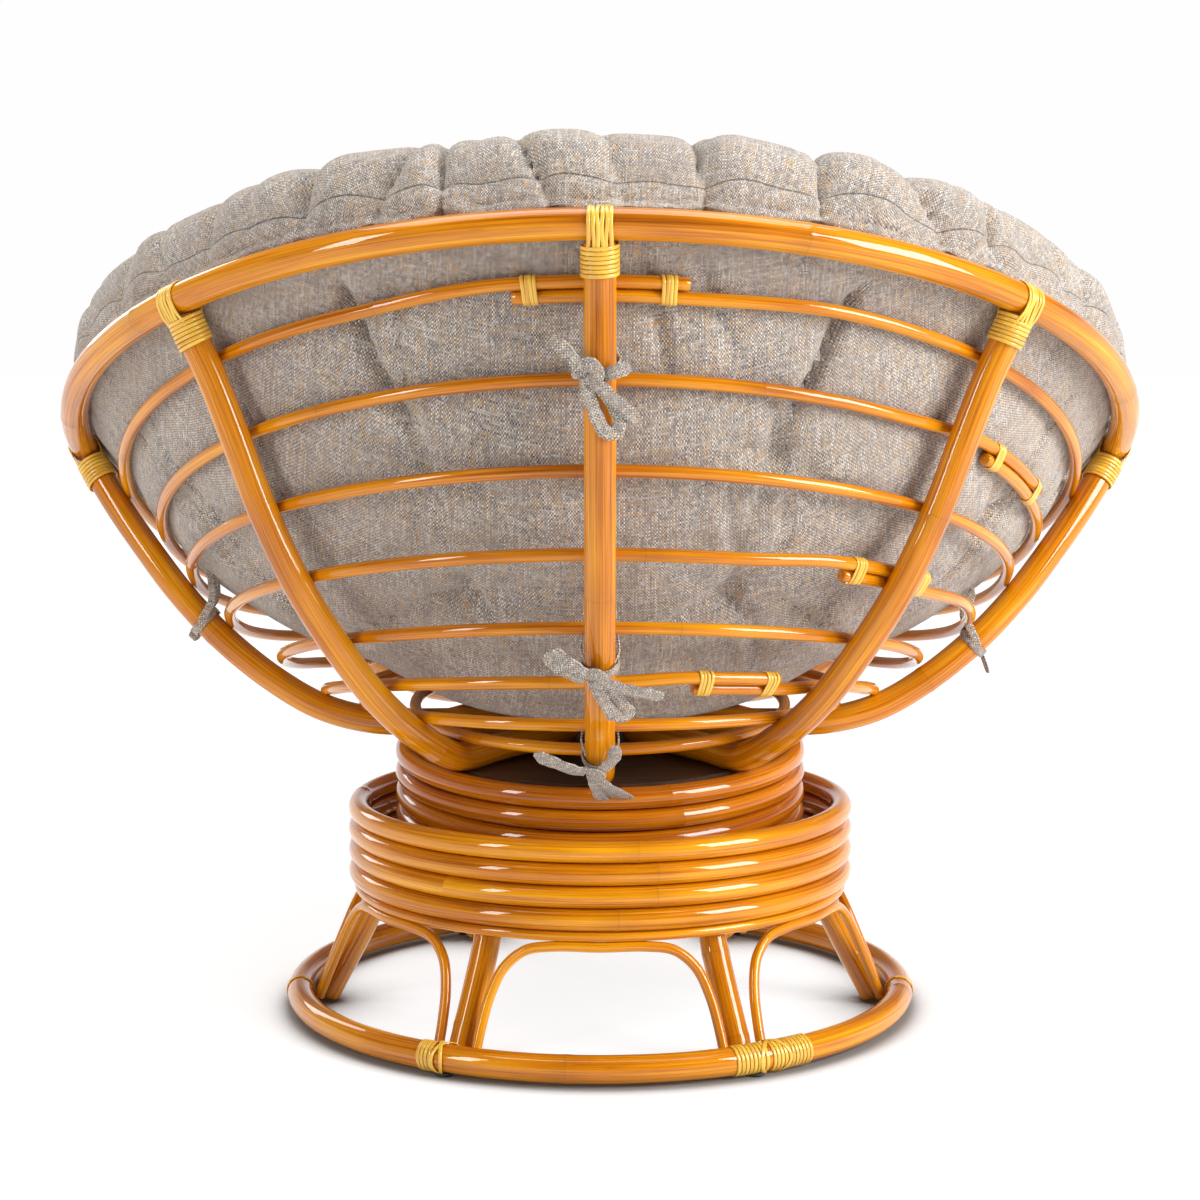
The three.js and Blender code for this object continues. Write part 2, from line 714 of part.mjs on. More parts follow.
/** A compression spring between the bracket and the leaning rocker plate. */
function buildSpring(name, y) {
  const stepsPerTurn = 8;
  const widest = springCoilRadius + springWireRadius;
  const bottom = bracketTop + clearance + springWireRadius;
  const lowestAbove = Math.min(rockerUndersideAt(y - widest), rockerUndersideAt(y + widest));
  const top = lowestAbove - clearance - springWireRadius;
  const curve = new FormulaCurve((t) => {
    const turn = 2 * Math.PI * springTurns * t;
    return new THREE.Vector3(
      springCoilRadius * Math.cos(turn),
      y + springCoilRadius * Math.sin(turn),
      THREE.MathUtils.lerp(bottom, top, t),
    );
  });
  const steps = springTurns * stepsPerTurn;
  const gap = leastGap(curve.getSpacedPoints(steps), stepsPerTurn, 2 * springWireRadius);
  console.log(`least gap in ${name}: ${gap.toFixed(2)} mm`);
  return mesh(name, pole(curve, springWireRadius, 5, steps), steelMaterial);
}

/** The bowl, its drum and its cushion, leaning back as they rest. */
function buildRocker() {
  const rocker = new THREE.Group();
  rocker.add(buildRim(), ...buildRibs(), ...buildHoops(), ...buildRimLashings(), buildCushion());
  rocker.add(...buildDrum("upper_drum", upperDrumRadius, upperDrumRings, upperDrumRise));
  rocker.add(board("seat_board", insideDrum(upperDrumRadius, clearance), seatBoardTop));
  rocker.add(buildRockerPlate());
  rocker.position.z = rockAxisHeight;
  rocker.rotation.x = -rockBack;
  return rocker;
}

function buildChair() {
  const chair = new THREE.Group();
  const bearing = buildBearing();
  const baseBoardRadius = insideDrum(lowerDrumRadius, 2 * (legPoleRadius + clearance));
  chair.add(buildBase(), board("base_board", baseBoardRadius, baseBoardTop), bearing.lower, bearing.balls);
  chair.add(bearing.upper, buildBracket(), buildPin());
  chair.add(buildSpring("spring_back", springOffset), buildSpring("spring_front", -springOffset));
  chair.add(buildRocker());
  return chair;
}

// The chair stands on the floor with the middle of its own outline over the origin.
const chair = buildChair();
chair.updateMatrixWorld(true);
const outline = new THREE.Box3().setFromObject(chair, true);
const middle = outline.getCenter(new THREE.Vector3());
chair.position.set(-middle.x, -middle.y, 0);

export default chair;
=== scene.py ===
"""Looks of a swivel and rocking papasan chair in lacquered rattan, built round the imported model."""

import logging
import math
from dataclasses import dataclass, field
from enum import Enum

import bpy
import numpy as np
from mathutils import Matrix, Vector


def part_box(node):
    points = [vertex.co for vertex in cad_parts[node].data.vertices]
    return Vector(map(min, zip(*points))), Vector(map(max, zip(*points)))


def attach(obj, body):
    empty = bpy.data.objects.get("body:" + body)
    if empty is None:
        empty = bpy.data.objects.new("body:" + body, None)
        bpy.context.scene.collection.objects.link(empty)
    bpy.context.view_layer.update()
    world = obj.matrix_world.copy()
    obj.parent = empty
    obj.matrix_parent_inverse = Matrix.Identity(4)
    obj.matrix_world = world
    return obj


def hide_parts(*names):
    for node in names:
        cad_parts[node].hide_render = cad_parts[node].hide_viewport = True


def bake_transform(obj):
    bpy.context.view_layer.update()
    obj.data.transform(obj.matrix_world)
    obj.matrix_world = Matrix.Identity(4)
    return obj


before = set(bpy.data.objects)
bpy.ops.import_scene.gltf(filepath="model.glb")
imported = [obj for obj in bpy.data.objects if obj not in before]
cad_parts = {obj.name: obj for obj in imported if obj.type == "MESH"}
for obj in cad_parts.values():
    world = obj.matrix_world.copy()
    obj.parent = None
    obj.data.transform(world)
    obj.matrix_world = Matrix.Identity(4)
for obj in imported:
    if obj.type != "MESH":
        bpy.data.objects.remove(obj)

LOG = logging.getLogger("papasan")
Array = np.ndarray
Colour = tuple[float, float, float]
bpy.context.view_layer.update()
FULL_TURN = 2 * math.pi


# Shader maths.


class Expr:
    """A socket in a material whose arithmetic adds Math nodes."""

    def __init__(self, shader: "Shader", socket: bpy.types.NodeSocket) -> None:
        """Wraps one output socket of a shader."""
        self.shader = shader
        self.socket = socket

    def math(self, operation: str, *others: "Expr | float") -> "Expr":
        """A Math node with this value as its first operand."""
        operands = dict(enumerate((self, *others)))
        return self.shader.node("ShaderNodeMath", {"operation": operation}, operands)

    def _swapped(self, operation: str, first: "Expr | float") -> "Expr":
        """A Math node with this value as its second operand."""
        return self.shader.node("ShaderNodeMath", {"operation": operation}, {0: first, 1: self})

    def __add__(self, other: "Expr | float") -> "Expr":
        """Sum."""
        return self.math("ADD", other)

    def __radd__(self, other: float) -> "Expr":
        """Reflected sum."""
        return self._swapped("ADD", other)

    def __sub__(self, other: "Expr | float") -> "Expr":
        """Difference."""
        return self.math("SUBTRACT", other)

    def __rsub__(self, other: float) -> "Expr":
        """Reflected difference."""
        return self._swapped("SUBTRACT", other)

    def __mul__(self, other: "Expr | float") -> "Expr":
        """Product."""
        return self.math("MULTIPLY", other)

    def __rmul__(self, other: float) -> "Expr":
        """Reflected product."""
        return self._swapped("MULTIPLY", other)

    def __truediv__(self, other: "Expr | float") -> "Expr":
        """Quotient."""
        return self.math("DIVIDE", other)

    def __abs__(self) -> "Expr":
        """Size without sign."""
        return self.math("ABSOLUTE")

    def step(self, low: float, high: float) -> "Expr":
        """A smooth step from 0 at low to 1 at high, or down if low is above high.

        Args:
            low: where it starts.
            high: where it ends.

        Returns:
            The step, from 0 to 1.
        """
        limits = {"Value": self, "From Min": low, "From Max": high}
        if low > high:
            limits.update({"From Min": high, "From Max": low, "To Min": 1.0, "To Max": 0.0})
        return self.shader.node("ShaderNodeMapRange", {"interpolation_type": "SMOOTHSTEP"}, limits)


class Shader:
    """A material under construction."""

    def __init__(self, name: str) -> None:
        """Makes an empty node material.

        Args:
            name: the material's name.
        """
        self.material = bpy.data.materials.new(name)
        self.material.use_nodes = True
        self.tree = self.material.node_tree
        self.tree.nodes.clear()

    def node(
        self, kind: str, settings: dict | None = None, inputs: dict | None = None, output: int = 0
    ) -> Expr:
        """Adds any node.

        Args:
            kind: the node's type.
            settings: its properties, or a ramp's stops as (place, colour) pairs.
            inputs: values or expressions by socket name or number.
            output: the number of the output that is returned.

        Returns:
            The chosen output as an expression.
        """
        made = self.tree.nodes.new(kind)
        for key, value in (settings or {}).items():
            if key == "stops":
                self._set_stops(made.color_ramp, value)
            else:
                setattr(made, key, value)
        for key, value in (inputs or {}).items():
            if isinstance(value, Expr):
                self.tree.links.new(value.socket, made.inputs[key])
            else:
                made.inputs[key].default_value = value
        return Expr(self, made.outputs[output])

    @staticmethod
    def _set_stops(ramp: bpy.types.ColorRamp, stops: list[tuple[float, Colour]]) -> None:
        """Gives a ramp its stops.

        Args:
            ramp: the ramp.
            stops: the place and colour of each stop.
        """
        while len(ramp.elements) < len(stops):
            ramp.elements.new(1.0)
        for element, (place, colour) in zip(ramp.elements, stops):
            element.position = place
            element.color = (*colour, 1.0)

    def attribute(self, name: str) -> Expr:
        """A mesh attribute read as a vector."""
        return self.node("ShaderNodeAttribute", {"attribute_name": name}, output=1)

    def number(self, name: str) -> Expr:
        """A mesh attribute read as a number."""
        return self.node("ShaderNodeAttribute", {"attribute_name": name}, output=2)

    def place(self) -> Expr:
        """Object coordinates."""
        return self.node("ShaderNodeTexCoord", output=3)

    def scaled(self, vector: Expr, scale: Colour) -> Expr:
        """A vector times a scale for each axis."""
        return self.node("ShaderNodeVectorMath", {"operation": "MULTIPLY"}, {0: vector, 1: scale})

    def axis(self, vector: Expr, number: int) -> Expr:
        """One axis of a vector."""
        return self.node("ShaderNodeSeparateXYZ", None, {0: vector}, output=number)

    def vector(self, x: Expr | float, y: Expr | float, z: Expr | float = 0.0) -> Expr:
        """A vector from three numbers."""
        return self.node("ShaderNodeCombineXYZ", None, {0: x, 1: y, 2: z})

    def noise(self, vector: Expr, scale: Colour, detail: float = 2.0, roughness: float = 0.5) -> Expr:
        """Noise from 0 to 1 with its own scale for each axis."""
        inputs = {
            "Vector": self.scaled(vector, scale), "Scale": 1.0, "Detail": detail, "Roughness": roughness
        }
        return self.node("ShaderNodeTexNoise", None, inputs)

    def mix(self, first: Expr | Colour, second: Expr | Colour, factor: Expr | float) -> Expr:
        """Two colours mixed.

        Args:
            first: the colour at factor 0.
            second: the colour at factor 1.
            factor: the second's share.

        Returns:
            The mixed colour.
        """
        colours = [c if isinstance(c, Expr) else (*c, 1.0) for c in (first, second)]
        inputs = {0: factor, 6: colours[0], 7: colours[1]}
        return self.node("ShaderNodeMix", {"data_type": "RGBA"}, inputs, output=2)

    def ramp(self, value: Expr, *stops: tuple[float, Colour]) -> Expr:
        """A colour ramp."""
        return self.node("ShaderNodeValToRGB", {"stops": list(stops)}, {0: value})

    def bump(self, height: Expr, distance: float, strength: float = 1.0) -> Expr:
        """A normal bent by a height."""
        return self.node(
            "ShaderNodeBump", None, {"Height": height, "Distance": distance, "Strength": strength}
        )

    def surface(self, **inputs: Expr | float | tuple) -> bpy.types.Material:
        """Ends the material in a surface shader, whose sockets are named with underscores.

        Args:
            **inputs: values or expressions by the socket's name.

        Returns:
            The finished material.
        """
        named = {key.replace("_", " "): value for key, value in inputs.items()}
        shader = self.node("ShaderNodeBsdfPrincipled", None, named)
        output = self.tree.nodes.new("ShaderNodeOutputMaterial")
        self.tree.links.new(shader.socket, output.inputs["Surface"])
        return self.material


# Finishes.


@dataclass(frozen=True)
class RattanFinish:
    """Lacquered rattan: streaks of fibre along the pole, dark pores and a scar at each node of the cane."""

    name: str = "rattan"
    deep: Colour = (0.2, 0.038, 0.001)
    middle: Colour = (0.59, 0.18, 0.001)
    light: Colour = (0.92, 0.41, 0.003)
    scar: Colour = (0.2, 0.045, 0.004)

    def material(self) -> bpy.types.Material:
        """Builds the material, on the attributes grain and node.

        Returns:
            The finished material.
        """
        s = Shader(self.name)
        grain = s.attribute("grain")
        fine = s.noise(grain, (7.0, 620.0, 620.0), 3.0, 0.6)
        band = s.noise(grain, (2.6, 130.0, 130.0), 2.0)
        cloud = s.noise(grain, (6.0, 22.0, 22.0), 2.0)
        tone = fine * 0.5 + band * 0.35 + cloud * 0.35
        colour = s.ramp(tone, (0.38, self.deep), (0.56, self.middle), (0.8, self.light))
        pore = s.noise(grain, (30.0, 1300.0, 1300.0), 1.0).step(0.64, 0.76) * 0.45
        wobble = s.noise(grain, (60.0, 160.0, 160.0), 1.0) * 0.0016
        node = s.number("node") + wobble
        ring = node.step(0.0022, 0.0008) * 0.16
        shade = node.step(0.035, 0.0) * 0.16
        colour = s.mix(colour, self.scar, pore)
        colour = s.mix(colour, self.scar, (ring + shade).math("MINIMUM", 0.8))
        height = fine * 0.6 + band * 0.4 - ring * 0.5
        return s.surface(
            Base_Color=colour,
            Roughness=0.36 + fine * 0.12,
            Normal=s.bump(height, 0.0003, 0.5),
            Specular_IOR_Level=0.06,
            Coat_Weight=1.0,
            Coat_Roughness=0.04,
            Coat_IOR=1.5,
        )


@dataclass(frozen=True)
class CaneFinish:
    """Glossy strands of cane peel, paler than the poles, with fine lines along them."""

    name: str = "cane"
    deep: Colour = (0.64, 0.27, 0.012)
    light: Colour = (0.95, 0.6, 0.06)

    def material(self) -> bpy.types.Material:
        """Builds the material, on the attribute grain.

        Returns:
            The finished material.
        """
        s = Shader(self.name)
        grain = s.attribute("grain")
        lines = s.noise(grain, (14.0, 1500.0, 1500.0), 2.0, 0.6)
        cloud = s.noise(grain, (22.0, 60.0, 60.0), 2.0)
        colour = s.ramp(lines * 0.5 + cloud * 0.5, (0.34, self.deep), (0.62, self.light))
        return s.surface(
            Base_Color=colour,
            Roughness=0.34 + lines * 0.12,
            Normal=s.bump(lines, 0.0002, 0.5),
            Coat_Weight=0.8,
            Coat_Roughness=0.08,
        )


@dataclass(frozen=True)
class ClothFinish:
    """A coarse plain weave of mixed yarns, with cream, dark and ochre slubs, painted shade where the yarns dip and a
    painted shadow along the seam.
    """

    name: str = "cloth"
    pitch: float = 0.0015
    dark: Colour = (0.07, 0.067, 0.082)
    grey: Colour = (0.325, 0.267, 0.225)
    beige: Colour = (0.5, 0.405, 0.318)
    cream: Colour = (0.88, 0.82, 0.73)
    ochre: Colour = (0.74, 0.42, 0.1)

    def yarn(self, s: Shader, across: Expr, along: Expr, seed: float) -> Expr:
        """The colour of one set of yarns, changing from yarn to yarn and along each.

        Args:
            s: the shader.
            across: the place across the yarns, in pitches.
            along: the place along them, in pitches.
            seed: tells the two sets apart.

        Returns:
            The colour.
        """
        number = across.math("FLOOR")
        reach = s.node(
            "ShaderNodeTexWhiteNoise", {"noise_dimensions": "2D"}, {"Vector": s.vector(number, seed)}
        )
        stretch = s.vector(number * 3.7 + seed, along * 0.055 + reach * 40.0, 0.0)
        slub = s.node("ShaderNodeTexNoise", None, {"Vector": stretch, "Scale": 1.0, "Detail": 1.0})
        speck = s.node(
            "ShaderNodeTexWhiteNoise",
            {"noise_dimensions": "2D"},
            {"Vector": s.vector(number, (along * 0.45 + reach * 9.0).math("FLOOR"))},
        )
        plain = s.ramp(speck, (0.0, self.dark), (0.22, self.grey), (0.7, self.beige), (1.0, self.cream))
        mixed = s.mix(plain, self.cream, slub.step(0.57, 0.66) * 0.85)
        mixed = s.mix(mixed, self.ochre, slub.step(0.42, 0.36) * 0.85)
        return s.mix(mixed, self.dark, reach.step(0.86, 0.9) * 0.45)

    def material(self) -> bpy.types.Material:
        """Builds the material, on the attribute weave, which is the place on the flat cloth in metres.

        Returns:
            The finished material.
        """
        s = Shader(self.name)
        flat = s.attribute("weave")
        wander = s.noise(flat, (18.0, 18.0, 18.0), 1.0) * 1.6
        u = s.axis(flat, 0) / self.pitch + wander
        v = s.axis(flat, 1) / self.pitch + wander
        warp = self.yarn(s, u, v, 3.0)
        weft = self.yarn(s, v, u, 17.0)
        over = (u.math("FLOOR") + v.math("FLOOR")).math("PINGPONG", 1.0)
        round_u = (u.math("FRACT") - 0.5).math("ABSOLUTE")
        round_v = (v.math("FRACT") - 0.5).math("ABSOLUTE")
        height_warp = 1.0 - round_u * round_u * 3.4 - round_v * 0.5
        height_weft = 1.0 - round_v * round_v * 3.4 - round_u * 0.5
        height = height_warp * over + height_weft * (1.0 - over)
        colour = s.mix(s.mix(weft, self.dark, 0.42), s.mix(warp, self.cream, 0.24), over)
        # Painted shade: the low parts of the weave, between the yarns, are darkened.
        colour = s.mix(colour, self.dark, height.step(0.62, 0.2) * 0.55)
        # Painted shadow: a dark line in the seam's groove, broken where the stitches cross it.
        off = s.axis(flat, 2).math("ABSOLUTE")
        stitch = (s.axis(flat, 0) * 90.0 + s.axis(flat, 1) * 90.0).math("FRACT").step(0.75, 0.9)
        colour = s.mix(colour, (0.02, 0.016, 0.014), off.step(0.0014, 0.0003) * (0.8 - stitch * 0.4))
        patch = s.noise(flat, (9.0, 9.0, 9.0), 2.0).step(0.35, 0.75)
        colour = s.mix(colour, s.mix(colour, self.grey, 0.35), patch)
        return s.surface(
            Base_Color=colour,
            Roughness=0.93,
            Normal=s.bump(height, self.pitch * 0.5, 0.6),
            Sheen_Weight=0.25,
            Sheen_Roughness=0.5,
        )


@dataclass(frozen=True)
class SteelFinish:
    """Plain steel with fine brushing and a trace of oil."""

    name: str = "steel"
    colour: Colour = (0.3, 0.31, 0.33)

    def material(self) -> bpy.types.Material:
        """Builds the material on Object coordinates.

        Returns:
            The finished material.
        """
        s = Shader(self.name)
        place = s.place()
        brushed = s.noise(place, (40.0, 900.0, 900.0), 2.0)
        stain = s.noise(place, (14.0, 14.0, 14.0), 3.0)
        colour = s.mix(self.colour, (0.12, 0.11, 0.1), stain.step(0.45, 0.8) * 0.6)
        return s.surface(
            Base_Color=colour,
            Metallic=1.0,
            Roughness=0.3 + stain * 0.2,
            Normal=s.bump(brushed, 0.0001, 0.4),
        )


@dataclass(frozen=True)
class ShadedBoardFinish:
    """Plywood with layers at its edge and soft grain on its faces, its colours darkened far below plywood's own to
    paint the shade under the cushion.
    """

    name: str = "board"
    # Both tones are painted shade: the grain is the board's own, the near-black tone stands in for the shade it lies
    # in.
    light: Colour = (0.085, 0.032, 0.011)
    deep: Colour = (0.03, 0.011, 0.004)

    def material(self) -> bpy.types.Material:
        """Builds the material on Object coordinates.

        Returns:
            The finished material.
        """
        s = Shader(self.name)
        place = s.place()
        grain = s.noise(place, (6.0, 180.0, 900.0), 3.0, 0.6)
        colour = s.ramp(grain, (0.35, self.deep), (0.65, self.light))
        return s.surface(Base_Color=colour, Roughness=0.6, Normal=s.bump(grain, 0.0003, 0.5), Coat_Weight=0.2)


@dataclass(frozen=True)
class RubberFinish:
    """Dark moulded plastic of the glides."""

    name: str = "glide"
    colour: Colour = (0.02, 0.02, 0.022)

    def material(self) -> bpy.types.Material:
        """Builds the material on Object coordinates.

        Returns:
            The finished material.
        """
        s = Shader(self.name)
        speckle = s.noise(s.place(), (600.0, 600.0, 600.0), 2.0)
        colour = s.mix(self.colour, (0.05, 0.05, 0.05), speckle)
        return s.surface(Base_Color=colour, Roughness=0.5, Normal=s.bump(speckle, 0.0002, 0.4))


# Surfaces worked out as whole arrays.


def unit(vectors: Array) -> Array:
    """Vectors divided by their lengths."""
    return vectors / np.maximum(np.linalg.norm(vectors, axis=-1, keepdims=True), 1e-12)


def around(radius: Array | float, angle: Array | float, height: Array | float) -> Array:
    """Points round the chair: radius times the sine and cosine of the angle from the back, at a height."""
    parts = np.broadcast_arrays(radius * np.sin(angle), radius * np.cos(angle), height)
    return np.stack(parts, axis=-1).astype(float)


def smooth_step(low: float, high: float, values: Array) -> Array:
    """Cubic step: t squared times three less two t, with t from 0 at low to 1 at high."""
    t = np.clip((values - low) / (high - low), 0.0, 1.0)
    return t * t * (3.0 - 2.0 * t)


def wavy(values: Array, seed: int, waves: int = 5) -> Array:
    """A smooth made-up line from -1 to 1: sines of rising frequency with seeded phases, averaged.

    Args:
        values: places along the line.
        seed: tells lines apart.
        waves: number of waves.

    Returns:
        Heights from -1 to 1.
    """
    random = np.random.default_rng(seed)
    rates = 1.0 + np.arange(waves) * 0.83
    phases = random.uniform(0.0, FULL_TURN, waves)
    return np.sin(np.multiply.outer(values, rates) + phases).mean(axis=-1)


def catmull_rom(points: Array, share: Array) -> Array:
    """Points of a smooth line through rows of points, at shares of it from 0 to 1, each span having an equal share.

    Centripetal Catmull-Rom spans: the square roots of the gaps set how long each span lasts, and each end's
    neighbour is its mirror image.

    Args:
        points: rows of points that the line passes.
        share: shares of the line from 0 to 1.

    Returns:
        The line's points.
    """
    p = np.asarray(points, float)
    p = np.concatenate([2 * p[:1] - p[1:2], p, 2 * p[-1:] - p[-2:-1]])
    gaps = np.sqrt(np.maximum(np.linalg.norm(np.diff(p, axis=0), axis=-1, keepdims=True), 1e-9))
    spans = len(p) - 3
    u = np.clip(np.asarray(share) * spans, 0.0, spans - 1e-9)
    i = u.astype(int)
    t = (u - i).reshape(-1, *[1] * (p.ndim - 1))
    a, b, c, d = p[i], p[i + 1], p[i + 2], p[i + 3]
    before, here, after = gaps[i], gaps[i + 1], gaps[i + 2]
    leave = ((b - a) / before - (c - a) / (before + here) + (c - b) / here) * here
    reach = ((c - b) / here - (d - b) / (here + after) + (d - c) / after) * here
    cubic = (2 * b - 2 * c + leave + reach) * t**3 + (-3 * b + 3 * c - 2 * leave - reach) * t**2
    return cubic + leave * t + b


def grid_normals(points: Array) -> Array:
    """Outward normals of a grid whose rows close on themselves: the cross product of its two differences.

    Args:
        points: rows, columns and 3.

    Returns:
        Unit vectors.
    """
    along = np.roll(points, -1, axis=1) - np.roll(points, 1, axis=1)
    up = np.gradient(points, axis=0)
    return unit(np.cross(along, up))


def round_wavy(angle: Array, seed: int, lowest: int = 11, waves: int = 6) -> Array:
    """A smooth made-up line that closes on itself: cosines of whole numbers of waves with seeded phases, averaged.

    Args:
        angle: places round the line.
        seed: tells lines apart.
        lowest: the slowest wave's rate.
        waves: number of waves.

    Returns:
        Heights from -1 to 1.
    """
    random = np.random.default_rng(seed)
    rates = lowest + np.cumsum(random.integers(3, 9, waves))
    phases = random.uniform(0.0, FULL_TURN, waves)
    return np.cos(np.multiply.outer(angle, rates) + phases).mean(axis=-1)


@dataclass
class Surface:
    """A mesh as arrays: points, faces, and for each corner of the faces its place on the material."""

    points: Array
    faces: list[Array]
    corners: dict[str, Array] = field(default_factory=dict)

    @staticmethod
    def joined(parts: list["Surface"]) -> "Surface":
        """Several surfaces as one.

        Args:
            parts: surfaces with the same attributes.

        Returns:
            All of them as one.
        """
        starts = np.cumsum([0] + [len(part.points) for part in parts])
        faces = [face + start for part, start in zip(parts, starts) for face in part.faces]
        names = parts[0].corners
        corners = {name: np.concatenate([part.corners[name] for part in parts]) for name in names}
        return Surface(np.concatenate([part.points for part in parts]), faces, corners)

    def mesh(self, name: str) -> bpy.types.Mesh:
        """The surface as a smooth mesh.

        Args:
            name: the mesh's name.

        Returns:
            The mesh.
        """
        mesh = bpy.data.meshes.new(name)
        mesh.from_pydata(self.points.tolist(), [], [row for face in self.faces for row in face.tolist()])
        mesh.polygons.foreach_set("use_smooth", np.ones(len(mesh.polygons), bool))
        for key, values in self.corners.items():
            kind = "FLOAT_VECTOR" if values.ndim == 2 else "FLOAT"
            made = mesh.attributes.new(key, kind, "CORNER")
            made.data.foreach_set(
                "vector" if values.ndim == 2 else "value", values.astype(np.float32).ravel()
            )
        mesh.set_sharp_from_angle(angle=math.radians(50.0))
        mesh.update()
        return mesh


class Path:
    """A line in space that a section is carried along. Subclasses give its points and which way is up."""

    closed: bool = False

    def at(self, share: Array) -> Array:
        """Points at shares of the line from 0 to 1."""
        raise NotImplementedError

    def up(self, share: Array) -> Array:
        """Vectors that aren't along the line, which the section's first axis leans to."""
        raise NotImplementedError

    def tangent(self, share: Array) -> Array:
        """Directions along the line, as the difference of two near points.

        Args:
            share: shares of the line.

        Returns:
            Unit vectors along it.
        """
        step = 1e-4
        low = share - step if self.closed else np.maximum(share - step, 0.0)
        high = share + step if self.closed else np.minimum(share + step, 1.0)
        return unit(self.at(high) - self.at(low))

    def length(self) -> float:
        """Length of the line over 400 short chords."""
        return float(np.linalg.norm(np.diff(self.at(np.linspace(0.0, 1.0, 401)), axis=0), axis=1).sum())


@dataclass
class RingPath(Path):
    """A circle: the centre plus the radius times the cosine and sine on two axes in its plane."""

    centre: Array
    radius: float
    lean: float = 0.0
    start: float = 0.0

    closed = True

    def at(self, share: Array) -> Array:
        """Points of the circle, from its start angle at the back.

        Args:
            share: shares of the circle.

        Returns:
            Its points.
        """
        angle = self.start + FULL_TURN * np.asarray(share)
        flat = around(self.radius, angle, 0.0)
        leant = np.stack(
            [flat[..., 0], flat[..., 1] * math.cos(self.lean), flat[..., 1] * math.sin(self.lean)], axis=-1
        )
        return leant + self.centre

    def up(self, share: Array) -> Array:
        """The circle's axis."""
        axis = np.array([0.0, -math.sin(self.lean), math.cos(self.lean)])
        return np.broadcast_to(axis, (len(share), 3))


@dataclass
class SplinePath(Path):
    """A smooth line through points, walked evenly from end to end."""

    points: Array
    reference: Array

    def __post_init__(self) -> None:
        """Measures how far along the line each share of its spans lies."""
        self.spans = np.linspace(0.0, 1.0, 1201)
        steps = np.linalg.norm(np.diff(catmull_rom(self.points, self.spans), axis=0), axis=1)
        walked = np.append(0.0, np.cumsum(steps))
        self.walked = walked / walked[-1]

    def share_of(self, control: float) -> float:
        """The share of the line at a place counted in its points."""
        return float(np.interp(control / (len(self.points) - 1), self.spans, self.walked))

    def at(self, share: Array) -> Array:
        """Points of the spline."""
        return catmull_rom(self.points, np.interp(share, self.walked, self.spans))

    def up(self, share: Array) -> Array:
        """The reference direction."""
        return np.broadcast_to(self.reference, (len(share), 3))


@dataclass
class LoopPath(SplinePath):
    """A smooth line whose up points away from its reference, which is a point."""

    def up(self, share: Array) -> Array:
        """From the reference point."""
        return unit(self.at(share) - self.reference)


def section_axes(path: Path, share: Array) -> tuple[Array, Array, Array]:
    """The line's directions: along it, toward its up less what is along it, and across both.

    Args:
        path: the line.
        share: shares of it.

    Returns:
        Along it, toward its up and across both.
    """
    along = path.tangent(share)
    up = path.up(share)
    first = unit(up - (up * along).sum(axis=-1, keepdims=True) * along)
    return along, first, np.cross(along, first)


def skin(rings: Array, closed: bool, corners: dict[str, Array]) -> Surface:
    """Faces between rings of points, the rings being rows of a grid that is closed round each row.

    Args:
        rings: points as rows, columns, 3.
        closed: whether the last row joins the first; otherwise each end gets a fan of triangles.
        corners: for each material place an array of rows plus one, columns plus one.

    Returns:
        The surface.
    """
    rows, columns = rings.shape[:2]
    last = rows if closed else rows - 1
    i, j = np.meshgrid(np.arange(last), np.arange(columns), indexing="ij")
    i2, j2 = (i + 1) % rows, (j + 1) % columns
    quads = np.stack([i * columns + j, i * columns + j2, i2 * columns + j2, i2 * columns + j], axis=-1)
    picks = [(i, j), (i, j + 1), (i + 1, j + 1), (i + 1, j)]
    placed = {key: [np.stack([v[a, b] for a, b in picks], axis=2)] for key, v in corners.items()}
    placed = {key: [v[0].reshape(-1, *corners[key].shape[2:])] for key, v in placed.items()}
    points, faces = rings.reshape(-1, 3), [quads.reshape(-1, 4)]
    if not closed:
        j = np.arange(columns)
        for row, turned in ((0, True), (rows - 1, False)):
            middle = len(points)
            points = np.concatenate([points, rings[row].mean(axis=0)[None]])
            edge = [row * columns + j, row * columns + (j + 1) % columns]
            fan = np.stack(
                [edge[1], edge[0], np.full(columns, middle)] if turned else [*edge, np.full(columns, middle)], axis=-1
            )
            faces.append(fan)
            for key, v in corners.items():
                pair = [v[row, j + 1], v[row, j]] if turned else [v[row, j], v[row, j + 1]]
                centre = np.broadcast_to(v[row].mean(axis=0), pair[0].shape)
                stacked = np.stack([*pair, centre], axis=1)
                placed[key].append(stacked.reshape(-1, *v.shape[2:]))
    return Surface(points, faces, {key: np.concatenate(v) for key, v in placed.items()})


